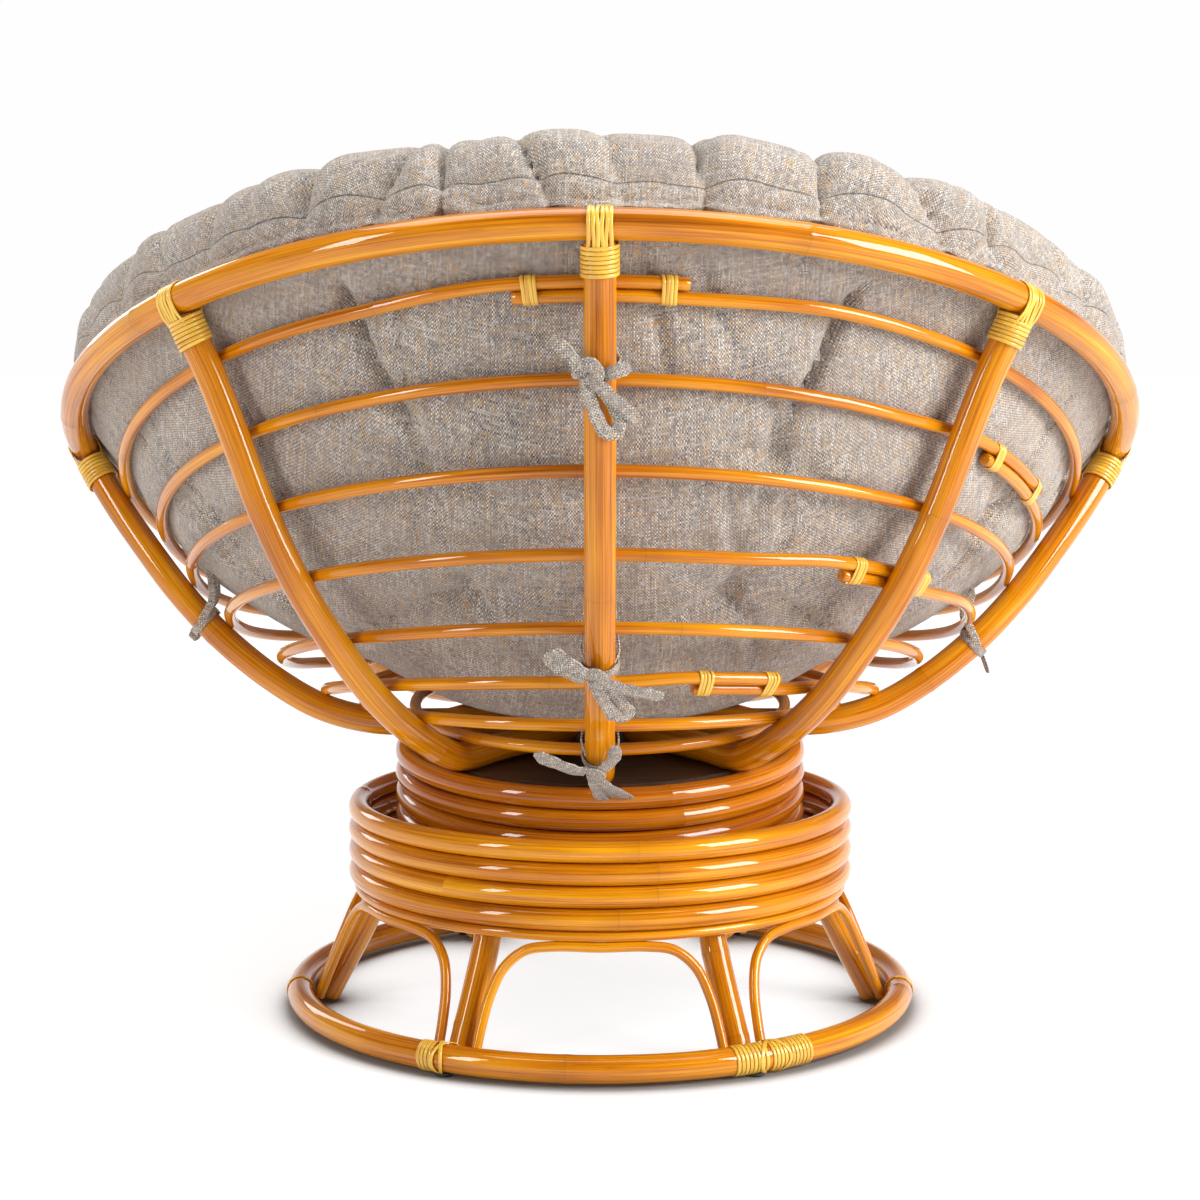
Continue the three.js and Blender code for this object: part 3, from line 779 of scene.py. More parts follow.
@dataclass
class Pole:
    """A round rattan pole along a path, slightly uneven, with a low swelling and a scar at each node."""

    path: Path
    radius: float
    seed: int
    sides: int = 20
    spacing: float = 0.008
    bevel: float = 0.0015
    uneven: float = 0.008
    node_gap: float = 0.47
    node_swell: float = 0.00035

    def surface(self) -> Surface:
        """Rings of points at radius r round the path: r is the pole's radius, times one plus a wavy line,
        plus a bell round each node, and at a cut end less the bevel.

        Returns:
            The surface with grain and node.
        """
        random = np.random.default_rng(self.seed)
        length = self.path.length()
        count = max(8, int(length / self.spacing))
        nodes = np.arange(random.uniform(0.3, 0.9) * self.node_gap, length, self.node_gap)
        nodes = nodes + random.uniform(-0.25, 0.25, len(nodes)) * self.node_gap
        nodes = nodes[(nodes > 0.012) & (nodes < length - 0.012)]
        near = (nodes[:, None] + np.array([-0.004, -0.0015, 0.0, 0.0015, 0.004])).ravel()
        along = np.linspace(0.0, length, count + 1)
        if self.path.closed:
            along = along[:-1]
        else:
            along = np.concatenate([along, [self.bevel, length - self.bevel]])
        along = np.unique(np.round(np.concatenate([along, near]), 6))
        share = along / length
        centre = self.path.at(share)
        _, first, second = section_axes(self.path, share)
        far = np.abs(along[:, None] - nodes[None, :]).min(axis=1) if len(nodes) else np.full(len(along), 1.0)
        radius = self.radius * (1.0 + self.uneven * wavy(along * 21.0, self.seed))
        radius = radius + self.node_swell * np.exp(-((far / 0.004) ** 2))
        if not self.path.closed:
            end = np.minimum(along, length - along)
            radius = radius - np.maximum(self.bevel - end, 0.0)
        turn = np.linspace(0.0, FULL_TURN, self.sides + 1)
        circle = first[:, None] * np.cos(turn)[None, :, None] + second[:, None] * np.sin(turn)[None, :, None]
        rings = centre[:, None] + radius[:, None, None] * circle
        rows = np.append(along, length) if self.path.closed else along
        far_rows = np.append(far, far[0]) if self.path.closed else far
        grain = np.stack(
            np.broadcast_arrays(
                rows[:, None] + self.seed * 1.37,
                self.radius * np.cos(turn)[None, :] + self.seed * 0.11,
                self.radius * np.sin(turn)[None, :],
            ),
            axis=-1,
        )
        node = np.broadcast_to(far_rows[:, None], grain.shape[:2])
        return skin(rings[:, :-1], self.path.closed, {"grain": grain, "node": node})


@dataclass
class Strand:
    """A flat strand of cane along given points, its flat side facing given directions."""

    points: Array
    outward: Array
    width: float = 0.0036
    thickness: float = 0.0012
    seed: int = 0

    def surface(self) -> Surface:
        """A rounded flat section: half the width times a flattened cosine, half the thickness times the sine.

        Returns:
            The surface with grain.
        """
        p = np.asarray(self.points, float)
        along = unit(np.gradient(p, axis=0))
        out = unit(self.outward - (self.outward * along).sum(axis=-1, keepdims=True) * along)
        side = np.cross(along, out)
        turn = np.linspace(0.0, FULL_TURN, 11)
        flat = np.sign(np.cos(turn)) * np.abs(np.cos(turn)) ** 0.6
        half = np.array([self.width / 2, self.thickness / 2])
        rings = (
            p[:, None]
            + half[0] * flat[None, :, None] * side[:, None]
            + half[1] * np.sin(turn)[None, :, None] * out[:, None]
        )
        lengths = np.append(0.0, np.cumsum(np.linalg.norm(np.diff(p, axis=0), axis=1)))
        grain = np.stack(
            np.broadcast_arrays(
                lengths[:, None] + self.seed * 0.77, half[0] * flat[None, :] + self.seed * 0.013,
                np.sin(turn)[None, :] * half[
                    1
                ]
            ),
            axis=-1,
        )
        return skin(rings[:, :-1], False, {"grain": grain})


@dataclass
class Ribbon:
    """A soft fabric tape along a path, flat in section and a little creased."""

    path: Path
    width: float = 0.011
    thickness: float = 0.0026
    seed: int = 0

    def surface(self) -> Surface:
        """A flat rounded section, whose width changes along the tape with a wavy line and narrows at the ends.

        Returns:
            The surface with weave.
        """
        length = self.path.length()
        share = np.linspace(0.0, 1.0, max(12, int(length / 0.002)))
        along, first, second = section_axes(self.path, share)
        centre = self.path.at(share)
        end = np.minimum(share, 1.0 - share) * length
        width = self.width * (1.0 + 0.16 * wavy(share * length * 160.0, self.seed)) * (
            0.7 + 0.3 * smooth_step(0.0, 0.006, end)
        )
        turn = np.linspace(0.0, FULL_TURN, 17)
        flat = np.sign(np.cos(turn)) * np.abs(np.cos(turn)) ** 0.7
        fold = 0.0012 * wavy(share * length * 90.0, self.seed + 5)[:, None] * flat[None, :] ** 2
        rings = (
            centre[:, None]
            + (width / 2)[:, None, None] * flat[None, :, None] * second[:, None]
            + (self.thickness / 2 * np.sin(turn)[None, :] + fold)[:, :, None] * first[:, None]
        )
        place = np.stack(
            np.broadcast_arrays(self.seed * 0.31 + share[:, None] * length, self.width / 2 * flat[None, :], 1.0), axis=-1
        )
        return skin(rings[:, :-1], False, {"weave": place})


# The chair's own sizes, in metres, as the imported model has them.


@dataclass(frozen=True)
class ChairSizes:
    """Sizes of the frame, seen from the rocking axis where the bowl is concerned."""

    clearance: float = 0.0003
    rim_radius: float = 0.535
    rim_pole: float = 0.014
    rim_lean: float = math.radians(28.3)
    rim_rise: float = 0.3136
    rim_forward: float = 0.1195
    rib_count: int = 8
    rib_pole: float = 0.014
    rib_inner: float = 0.046
    hoop_rod: float = 0.006
    hoop_front_rise: float = 0.008
    hoop_steps: int = 40
    upper_drum: float = 0.1965
    upper_rise: float = 0.0262
    lower_drum: float = 0.2446
    drum_pole: float = 0.0105
    drum_rings: int = 4
    thin_rod: float = 0.005
    floor_ring: float = 0.305
    floor_pole: float = 0.013
    glide: float = 0.003
    leg_pole: float = 0.013
    leg_degrees: tuple[float, ...] = (28.0, 87.0, 150.0, -150.0, -87.0, -28.0)
    leg_top_drop: float = 0.031
    leg_knee_drop: float = 0.080
    arch_top: float = 0.1133
    rock_axis: float = 0.235
    rock_back: float = math.radians(5.0)
    cane: float = 0.0012

    @property
    def pitch(self) -> float:
        """Height of one ring of a drum on the next."""
        return 2 * self.drum_pole + self.clearance

    @property
    def drum_top(self) -> float:
        """Top of the upper drum above the rocking axis."""
        return self.upper_rise + self.drum_pole

    @property
    def rib_level(self) -> float:
        """Centre line of the ribs over the drum."""
        return self.drum_top + self.clearance + self.rib_pole

    @property
    def hoop_level(self) -> float:
        """Centre line of the lowest hoop."""
        return self.rib_level + self.rib_pole + self.clearance + self.hoop_rod

    @property
    def floor_height(self) -> float:
        """Centre line of the floor ring."""
        return self.glide + self.floor_pole

    @property
    def thin_height(self) -> float:
        """Centre line of the thin ring."""
        return self.arch_top + 2 * self.thin_rod + self.clearance

    @property
    def lower_top(self) -> float:
        """Centre line of the lower drum's top ring."""
        bottom = self.thin_height + self.thin_rod + self.clearance + self.drum_pole
        return bottom + (self.drum_rings - 1) * self.pitch


SIZES = ChairSizes()

# The hoops from the lowest to the highest and then the rim: shares of radius, forward, rise, lean and front rise.
BOWL_ROW_SHARES = np.array(
    [
        [-0.03, 0.0, 0.0, 0.0, 0.0],
        [0.12, 0.04, 0.012, 0.27, 0.02],
        [0.235, 0.105, 0.042, 0.52, 0.08],
        [0.366, 0.175, 0.161, 0.63, 0.18],
        [0.521, 0.285, 0.311, 0.742, 0.32],
        [0.636, 0.42, 0.473, 0.859, 0.5],
        [0.73, 0.586, 0.64, 0.986, 0.74],
        [0.848, 0.79, 0.82, 1.06, 1.0],
        [1.0, 1.0, 1.0, 1.0, math.nan],
    ]
)
RIM_ROW = len(BOWL_ROW_SHARES) - 1
HOOP_LAP_STEPS = (18, -17, -3, 15, -5, 20, -7, 0)
ARCH_SHARES = ((1.0, 0.0), (0.985, 0.3), (0.95, 0.56), (0.86, 0.8), (0.68, 0.955), (0.42, 1.0), (0.0, 1.0))


class BowlShape:
    """The surface that the hoops and the rim lie on, seen from the rocking axis."""

    def __init__(self, sizes: ChairSizes) -> None:
        """Works out the rows' sizes from their shares.

        Args:
            sizes: the chair's sizes.
        """
        share = BOWL_ROW_SHARES
        self.sizes = sizes
        self.radius = sizes.upper_drum + (sizes.rim_radius - sizes.upper_drum) * share[:, 0]
        self.forward = sizes.rim_forward * share[:, 1]
        self.side = sizes.hoop_level + (sizes.rim_rise - sizes.hoop_level) * share[:, 2]
        self.lean = sizes.rim_lean * share[:, 3]
        self.front = sizes.hoop_level + sizes.hoop_front_rise * share[:, 4]

    def point(self, row: int, angle: Array) -> Array:
        """A leaning circle whose front half is lifted by the square of the cosine to lie on the ribs.

        Args:
            row: the hoop, or the rim.
            angle: the place round the chair.

        Returns:
            Points on its centre line.
        """
        angle = np.asarray(angle, float)
        across = np.cos(angle)
        rise = self.radius[row] * math.sin(self.lean[row])
        lift = 0.0
        if row != RIM_ROW:
            lift = np.where(across > 0, 0.0, (self.front[row] - self.side[row] + rise) * across**2)
        y = self.radius[row] * math.cos(self.lean[row]) * across - self.forward[row]
        return np.stack([self.radius[row] * np.sin(angle), y, self.side[row] + rise * across + lift], axis=-1)

    def normal(self, row: int, angle: Array) -> Array:
        """Across the directions along the row and up to the next one, toward the cushion.

        Args:
            row: the hoop, or the rim.
            angle: the place round the chair.

        Returns:
            Unit vectors toward the cushion.
        """
        angle = np.asarray(angle, float)
        if row == 0:
            return np.broadcast_to(np.array([0.0, 0.0, 1.0]), (*angle.shape, 3))
        step = math.pi / self.sizes.hoop_steps
        along = self.point(row, angle + step) - self.point(row, angle - step)
        outward = self.point(min(row + 1, RIM_ROW), angle) - self.point(row - 1, angle)
        return unit(np.cross(along, outward))

    def beside_rim(self, angle: Array, out: Array | float, up: Array | float) -> Array:
        """A point beside the rim, by its distances out from its centre line and above its plane.

        Args:
            angle: the place round the chair.
            out: distance out from the centre line.
            up: distance above it.

        Returns:
            The points.
        """
        lean = self.sizes.rim_lean
        outward = np.stack(
            [np.sin(angle), np.cos(angle) * math.cos(lean), np.cos(angle) * math.sin(lean)], axis=-1
        )
        upward = np.array([0.0, -math.sin(lean), math.cos(lean)])
        out, up = np.asarray(out, float)[..., None], np.asarray(up, float)[..., None]
        return self.point(RIM_ROW, angle) + outward * out + upward * up


SHAPE = BowlShape(SIZES)
SWIVEL_Y = sum(corner[1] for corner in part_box("lower_drum_1")) / 2


def rocked(points: Array) -> Array:
    """Points seen from the rocking axis, leant back and brought to the chair's place.

    Args:
        points: points seen from the rocking axis.

    Returns:
        The points in the chair's frame.
    """
    cos, sin = math.cos(SIZES.rock_back), math.sin(SIZES.rock_back)
    x, y, z = np.moveaxis(points, -1, 0)
    return np.stack([x, y * cos + z * sin + SWIVEL_Y, z * cos - y * sin + SIZES.rock_axis], axis=-1)


@dataclass
class RockedPath(Path):
    """A path given from the rocking axis."""

    inner: Path

    def __post_init__(self) -> None:
        """Takes over whether the path is closed."""
        self.closed = self.inner.closed

    def at(self, share: Array) -> Array:
        """The inner path's points in the chair's place."""
        return rocked(self.inner.at(share))

    def up(self, share: Array) -> Array:
        """The inner path's up, leant back."""
        origin = rocked(np.zeros((1, 3)))
        return rocked(self.inner.up(share)) - origin


@dataclass
class HoopPath(Path):
    """A hoop: its row of the bowl, run one step past a full turn at each end so that the ends lap side by side."""

    row: int

    def at(self, share: Array) -> Array:
        """The row's point moved sideways by half the lap, with a smooth step near each end.

        Args:
            share: shares of the hoop.

        Returns:
            Its points.
        """
        step = FULL_TURN / SIZES.hoop_steps
        turns = SIZES.hoop_steps + 2
        steps = np.asarray(share) * turns
        angle = (HOOP_LAP_STEPS[self.row] - 1 + steps) * step
        aside = smooth_step(2.0, 4.0, turns - steps) - smooth_step(2.0, 4.0, steps)
        along = unit(SHAPE.point(self.row, angle + step) - SHAPE.point(self.row, angle - step))
        across = unit(np.cross(SHAPE.normal(self.row, angle), along))
        return SHAPE.point(self.row, angle) + across * (aside * (SIZES.hoop_rod + SIZES.clearance))[..., None]

    def up(self, share: Array) -> Array:
        """The bowl's normal.

        Args:
            share: shares of the hoop.

        Returns:
            Unit vectors.
        """
        step = FULL_TURN / SIZES.hoop_steps
        angle = (HOOP_LAP_STEPS[self.row] - 1 + np.asarray(share) * (SIZES.hoop_steps + 2)) * step
        return SHAPE.normal(self.row, angle)


def rib_path(angle: float) -> SplinePath:
    """A rib's centre line: flat over the drum, then under each hoop, then square to the rim's underside.

    The points under the hoops are drawn toward their neighbours' middle and pushed back, twice, which
    takes out small bends and keeps the long curve.

    Args:
        angle: the rib's place round the chair.

    Returns:
        The path, seen from the rocking axis.
    """
    reach = SIZES.hoop_rod + SIZES.rib_pole + SIZES.clearance
    radii = np.array(
        [SIZES.rib_inner, SIZES.upper_drum - 4 * SIZES.rib_pole, SIZES.upper_drum - 0.3 * SIZES.rib_pole]
    )
    flat = around(radii, angle, SIZES.rib_level)
    rows = range(1, RIM_ROW)
    under = np.array([SHAPE.point(row, angle) - SHAPE.normal(row, angle) * reach for row in rows])
    rim = SHAPE.point(RIM_ROW, angle)
    lean = SIZES.rim_lean
    along = np.array([math.cos(angle), -math.sin(angle) * math.cos(lean), -math.sin(angle) * math.sin(lean)])
    to_rim = rim - under[-1]
    to_rim = unit(to_rim - (to_rim @ along) * along)
    gap = SIZES.rim_pole + SIZES.clearance + SIZES.rib_pole * math.tan(math.pi / SIZES.hoop_steps)
    ends = rim - to_rim * np.array([[gap + 0.022], [gap]])
    points = np.concatenate([flat, under, ends])
    for pull in (0.5, -0.52, 0.5, -0.52):
        eased = points.copy()
        eased[3:-2] += pull * ((points[2:-3] + points[4:-1]) / 2 - points[3:-2])
        points = eased
    return SplinePath(points, around(1.0, angle + math.pi / 2, 0.0))


# Putting pieces into the scene.


class Body(Enum):
    """The bodies that move."""

    BASE = "base"
    SWIVEL = "swivel"
    BOWL = "bowl"


def add_piece(
    name: str,
    surface: Surface,
    material: bpy.types.Material,
    body: Body,
    nodes: tuple[str, ...] = (),
) -> bpy.types.Object:
    """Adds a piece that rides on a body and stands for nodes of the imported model.

    Args:
        name: the piece's name.
        surface: its shape.
        material: its finish.
        body: what it moves with.
        nodes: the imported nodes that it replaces.

    Returns:
        The new object.
    """
    piece = bpy.data.objects.new(name, surface.mesh(name))
    bpy.context.scene.collection.objects.link(piece)
    piece.data.materials.append(material)
    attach(piece, body.value)
    if nodes:
        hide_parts(*nodes)
    LOG.info("%s: %d faces on %s", name, len(piece.data.polygons), body.value)
    return piece


def wound_strand(
    path: Path, start: float, run: float, turns: float, radius: float, pitch_phase: float = 0.0, seed: int = 0
) -> Strand:
    """A strand wound round a path.

    Args:
        path: the pole's centre line.
        start: share of the line where it begins.
        run: share of the line that it covers.
        turns: number of turns.
        radius: from the centre line to the strand's middle.
        pitch_phase: the angle of its first point.
        seed: tells strands apart.

    Returns:
        The strand, a helix: centre plus radius times the cosine and sine on the section's axes.
    """
    t = np.linspace(0.0, 1.0, int(abs(turns) * 24) + 1)
    share = start + run * t
    _, first, second = section_axes(path, share)
    turn = pitch_phase + FULL_TURN * turns * t
    out = first * np.cos(turn)[:, None] + second * np.sin(turn)[:, None]
    return Strand(path.at(share) + radius * out, out, seed=seed)


class Bowl:
    """Rim, ribs and hoops."""

    def __init__(self, rattan: bpy.types.Material) -> None:
        """Takes the finish."""
        self.rattan = rattan

    def build(self) -> None:
        """Adds every pole of the bowl."""
        centre = np.array([0.0, -SIZES.rim_forward, SIZES.rim_rise])
        rim = RockedPath(RingPath(centre, SIZES.rim_radius, SIZES.rim_lean, math.pi))
        add_piece(
            "bowl_rim", Pole(rim, SIZES.rim_pole, 11, 28).surface(), self.rattan, Body.BOWL,
            ("rim",)
        )
        for number in range(SIZES.rib_count):
            path = RockedPath(rib_path(FULL_TURN * number / SIZES.rib_count))
            pole = Pole(path, SIZES.rib_pole, 21 + number, 24)
            add_piece(
                f"bowl_rib_{number + 1}", pole.surface(), self.rattan, Body.BOWL,
                (f"rib_{number + 1}",)
            )
        for row in range(RIM_ROW):
            pole = Pole(
                RockedPath(HoopPath(row)), SIZES.hoop_rod, 41 + row, 16, bevel=0.0008, node_swell=0.0002
            )
            add_piece(
                f"bowl_hoop_{row + 1}", pole.surface(), self.rattan, Body.BOWL,
                (f"hoop_{row + 1}",)
            )


class BowlLashings:
    """Cane over the rim and round the rib ends, and the short windings on the hoops' laps."""

    def __init__(self, cane: bpy.types.Material) -> None:
        """Takes the finish."""
        self.cane = cane

    def rib_end(self, number: int) -> Surface:
        """The winding round a rib's end and the strands that run over the rim and down both sides of the rib.

        Args:
            number: the rib's number.

        Returns:
            All its cane.
        """
        angle = FULL_TURN * number / SIZES.rib_count
        path = rib_path(angle)
        length = path.length()
        parts = []
        winding = wound_strand(
            path, 1.0 - 0.0275 / length, 0.0262 / length, 6.7, SIZES.rib_pole + 0.0021, 0.4 * number,
            number
        )
        winding.width, winding.thickness = 0.0035, 0.0018
        parts.append(winding.surface())
        rim = SHAPE.point(RIM_ROW, angle)
        end = path.at(np.array([1.0]))[0]
        down = unit(end - rim)
        lean = SIZES.rim_lean
        along = np.array(
            [math.cos(angle), -math.sin(angle) * math.cos(lean), -math.sin(angle) * math.sin(lean)]
        )
        side = np.cross(along, down)
        over = SIZES.rim_pole + 0.0009
        gap = float(np.linalg.norm(end - rim))
        t = np.linspace(0.0, 1.0, 61)
        for k in range(6):
            offset = (k - 2.5) * 0.0038
            reach = gap + 0.012
            leg = math.sqrt(max((SIZES.rib_pole + 0.0008) ** 2 - offset**2, 1e-8))
            turn = (t - 0.5) * 1.5 * math.pi / 0.75
            straight = np.clip((np.abs(t - 0.5) - 0.25) / 0.25, 0.0, 1.0)
            bend = np.clip(turn, -math.pi / 2, math.pi / 2)
            height = -over * np.cos(bend) + straight * reach
            blend = smooth_step(0.25, 0.9, straight)
            width = np.sign(t - 0.5) * (over * np.abs(np.sin(bend)) * (1 - blend) + leg * blend)
            sway = offset + 0.0012 * wavy(t * 5.0, number * 7 + k)
            points = rim + down * height[:, None] + side * width[:, None] + along * sway[:, None]
            out = -down * np.cos(bend)[:, None] + side * np.sin(bend)[:, None]
            parts.append(Strand(points, out, 0.0035, 0.0016, number * 9 + k).surface())
        joined = Surface.joined(parts)
        joined.points = rocked(joined.points)
        return joined

    def lap(self, row: int, steps_off: float, turns: int = 4) -> Surface:
        """A winding round both rods of a hoop's lap.

        Args:
            row: the hoop's row.
            steps_off: its place from the lap's middle, in steps round the chair.
            turns: number of turns.

        Returns:
            One strand on a loop with round ends: a circle's points moved apart by the rods' distance.
        """
        step = FULL_TURN / SIZES.hoop_steps
        half = SIZES.hoop_rod + SIZES.clearance
        over = SIZES.hoop_rod + 0.0007
        t = np.linspace(0.0, 1.0, turns * 28 + 1)
        turn = FULL_TURN * turns * t + row
        pitch = 0.0034
        place = HOOP_LAP_STEPS[row] * step + steps_off * step
        angle = place + (t - 0.5) * turns * pitch / self.radius_at(row, place)
        along = unit(SHAPE.point(row, angle + step) - SHAPE.point(row, angle - step))
        normal = SHAPE.normal(row, angle)
        across = unit(np.cross(normal, along))
        spread = half * np.tanh(np.cos(turn) * 3.0) / math.tanh(3.0)
        out = across * np.cos(turn)[:, None] + normal * np.sin(turn)[:, None]
        points = SHAPE.point(row, angle) + across * spread[:, None] + out * over
        points = points + along * (0.0006 * wavy(t * 9.0, row))[:, None]
        return Strand(rocked(points), rocked(out) - rocked(np.zeros(3)), 0.0032, 0.0011, row * 3).surface()

    @staticmethod
    def radius_at(row: int, angle: float) -> float:
        """How far a step of angle moves along a hoop."""
        near = SHAPE.point(row, np.array([angle - 0.01, angle + 0.01]))
        return float(np.linalg.norm(near[1] - near[0]) / 0.02)

    def build(self) -> None:
        """Adds all windings on the bowl."""
        for number in range(SIZES.rib_count):
            name = f"rib_end_winding_{number + 1}"
            node = f"rim_lashing_{number + 1}"
            add_piece(name, self.rib_end(number), self.cane, Body.BOWL, (node,))
        for row in range(RIM_ROW):
            pair = Surface.joined([self.lap(row, -0.78), self.lap(row, 0.78)])
            add_piece(f"lap_winding_{row + 1}", pair, self.cane, Body.BOWL)


class Drums:
    """The stacked rings of both drums, the upper ones in a darker, redder copy of the rattan finish that paints the
    shade under the bowl.
    """

    def __init__(self, rattan: bpy.types.Material, shaded_rattan: bpy.types.Material) -> None:
        """Takes the finishes of the lower drum and of the upper drum, the latter with painted shade."""
        self.rattan = rattan
        self.shaded_rattan = shaded_rattan

    def build(self) -> None:
        """Adds the rings from the top down."""
        for number in range(SIZES.drum_rings):
            start = 2.1 + 1.9 * number
            upper = RingPath(
                np.array([0.0, 0.0, SIZES.upper_rise - number * SIZES.pitch]), SIZES.upper_drum, 0.0,
                start
            )
            pole = Pole(RockedPath(upper), SIZES.drum_pole, 61 + number, 20, uneven=0.006)
            name = f"upper_drum_{number + 1}"
            # The upper drum takes the darker copy of the rattan: painted shade under the bowl.
            add_piece(
                f"drum_top_ring_{number + 1}", pole.surface(), self.shaded_rattan, Body.BOWL,
                (name,)
            )
            centre = np.array([0.0, SWIVEL_Y, SIZES.lower_top - number * SIZES.pitch])
            lower = RingPath(centre, SIZES.lower_drum, 0.0, start + 1.0)
            pole = Pole(lower, SIZES.drum_pole, 71 + number, 20, uneven=0.006)
            name = f"lower_drum_{number + 1}"
            add_piece(
                f"drum_low_ring_{number + 1}", pole.surface(), self.rattan, Body.BASE,
                (name,)
            )
        thin = RingPath(np.array([0.0, SWIVEL_Y, SIZES.thin_height]), SIZES.lower_drum, 0.0, 3.0)
        pole = Pole(thin, SIZES.thin_rod, 79, 14, node_swell=0.0002)
        add_piece("drum_thin_ring", pole.surface(), self.rattan, Body.BASE, ("thin_ring",))


class Base:
    """Floor ring, legs, arches, their cane and the glides."""

    def __init__(
        self, rattan: bpy.types.Material, cane: bpy.types.Material, rubber: bpy.types.Material
    ) -> None:
        """Takes the finishes.

        Args:
            rattan: the poles' finish.
            cane: the windings'.
            rubber: the glides'.
        """
        self.rattan = rattan
        self.cane = cane
        self.rubber = rubber
        self.place = np.array([0.0, SWIVEL_Y, 0.0])

    def floor_path(self) -> RingPath:
        """The floor ring's centre line, starting at its scarf joint."""
        return RingPath(
            self.place + [0.0, 0.0, SIZES.floor_height], SIZES.floor_ring, 0.0, math.radians(-31.0)
        )

    def lean_out(self, radius: float, height: float, pole: float) -> tuple[float, float]:
        """A pole's lean from a high point to the floor ring's inside, and how far it keeps from the ring's line.

        Args:
            radius: the high point's distance from the axis.
            height: its height.
            pole: the pole's radius.

        Returns:
            The lean, and the distance kept from the ring.
        """
        out, down = SIZES.floor_ring - radius, height - SIZES.floor_height
        touch = SIZES.floor_pole + pole + SIZES.cane + 2 * SIZES.clearance
        return math.atan2(out, down) - math.asin(touch / math.hypot(out, down)), touch

    def leg_path(self, angle: float) -> SplinePath:
        """A leg: upright in the drum, then splayed to the floor.

        Args:
            angle: the leg's place round the chair.

        Returns:
            Its centre line.
        """
        radius = (
            (SIZES.lower_drum - SIZES.drum_pole) * math.cos(math.pi / 30) - SIZES.clearance - SIZES.leg_pole
        )
        top, knee = SIZES.lower_top - SIZES.leg_top_drop, SIZES.lower_top - SIZES.leg_knee_drop
        lean = self.lean_out(radius, knee, SIZES.leg_pole)[0]
        slope = math.tan(lean)
        foot = SIZES.leg_pole * math.sin(lean) + SIZES.clearance
        heights = np.array([top, knee + SIZES.leg_pole, knee - SIZES.leg_pole, SIZES.floor_height, foot])
        radii = np.where(heights < knee, radius + (knee - heights) * slope, radius)
        return SplinePath(around(radii, angle, heights) + self.place, around(1.0, angle + math.pi / 2, 0.0))

    def arch_path(self, start: float, end: float) -> SplinePath:
        """An arch from one leg's foot up under the thin ring and down to the next leg's foot.

        Args:
            start: the first leg's place.
            end: the next leg's.

        Returns:
            Its centre line.
        """
        lean, touch = self.lean_out(SIZES.lower_drum, SIZES.arch_top, SIZES.thin_rod)
        foot_height = SIZES.floor_height - touch * math.sin(lean)
        foot_radius = SIZES.floor_ring - touch * math.cos(lean)
        room = (SIZES.leg_pole + SIZES.thin_rod + 2 * SIZES.clearance) / math.cos(lean) / foot_radius
        middle, half = (start + end) / 2, (end - start) / 2 - room
        shares = np.array(ARCH_SHARES)
        width = np.concatenate([-shares[:, 0], shares[-2::-1, 0]])
        height = np.concatenate([shares[:, 1], shares[-2::-1, 1]])
        points = around(
            foot_radius + (SIZES.lower_drum - foot_radius) * height,
            middle + half * width,
            foot_height + (SIZES.arch_top - foot_height) * height,
        )
        return SplinePath(points + self.place, around(1.0, middle, 0.0))

    def floor_winding(self, degrees: float, turns: float, reverse: bool = False, seed: int = 0) -> Surface:
        """A strand wound round the floor ring, centred at an angle.

        Args:
            degrees: its middle, from the back.
            turns: number of turns.
            reverse: whether it runs the other way.
            seed: tells strands apart.

        Returns:
            The surface.
        """
        path = self.floor_path()
        pitch = 0.0041
        run = turns * pitch / path.length()
        middle = math.fmod(math.radians(degrees + 31.0) / FULL_TURN + 1.0, 1.0)
        sign = -1.0 if reverse else 1.0
        strand = wound_strand(path, middle - run / 2, run, sign * turns, SIZES.floor_pole + 0.0007, 0.3, seed)
        return strand.surface()

    def crossing(self, degrees: float, spread: float, seed: int) -> Surface:
        """A loop slantwise round the floor ring: one turn that also runs along the ring and back.

        Args:
            degrees: its middle, from the back.
            spread: half its reach along the ring.
            seed: tells strands apart.

        Returns:
            The surface.
        """
        path = self.floor_path()
        t = np.linspace(0.0, 1.0, 61)
        middle = math.fmod(math.radians(degrees + 31.0) / FULL_TURN + 1.0, 1.0)
        turn = FULL_TURN * t - 0.5 * math.pi
        share = middle + spread * np.cos(turn + 0.5 * math.pi) / path.length()
        _, first, second = section_axes(path, share)
        out = first * np.cos(turn)[:, None] + second * np.sin(turn)[:, None]
        points = path.at(share) + (SIZES.floor_pole + 0.0017) * out
        return Strand(points, out, seed=seed).surface()

    def glide(self, angle: float) -> Surface:
        """A small turned foot under the floor ring: a profile of radius against height, carried round.

        Args:
            angle: its place round the chair.

        Returns:
            The surface.
        """
        profile = np.array([[0.0001, 0.0], [0.0075, 0.0], [0.009, 0.0012], [0.009, 0.0036], [0.0001, 0.0036]])
        turn = np.linspace(0.0, FULL_TURN, 25)
        rings = (
            around(profile[:, :1], turn[None, :], profile[:, 1:]) + around(SIZES.floor_ring, angle, 0.0)
            + self.place
        )
        return skin(rings[::-1, :-1], False, {})

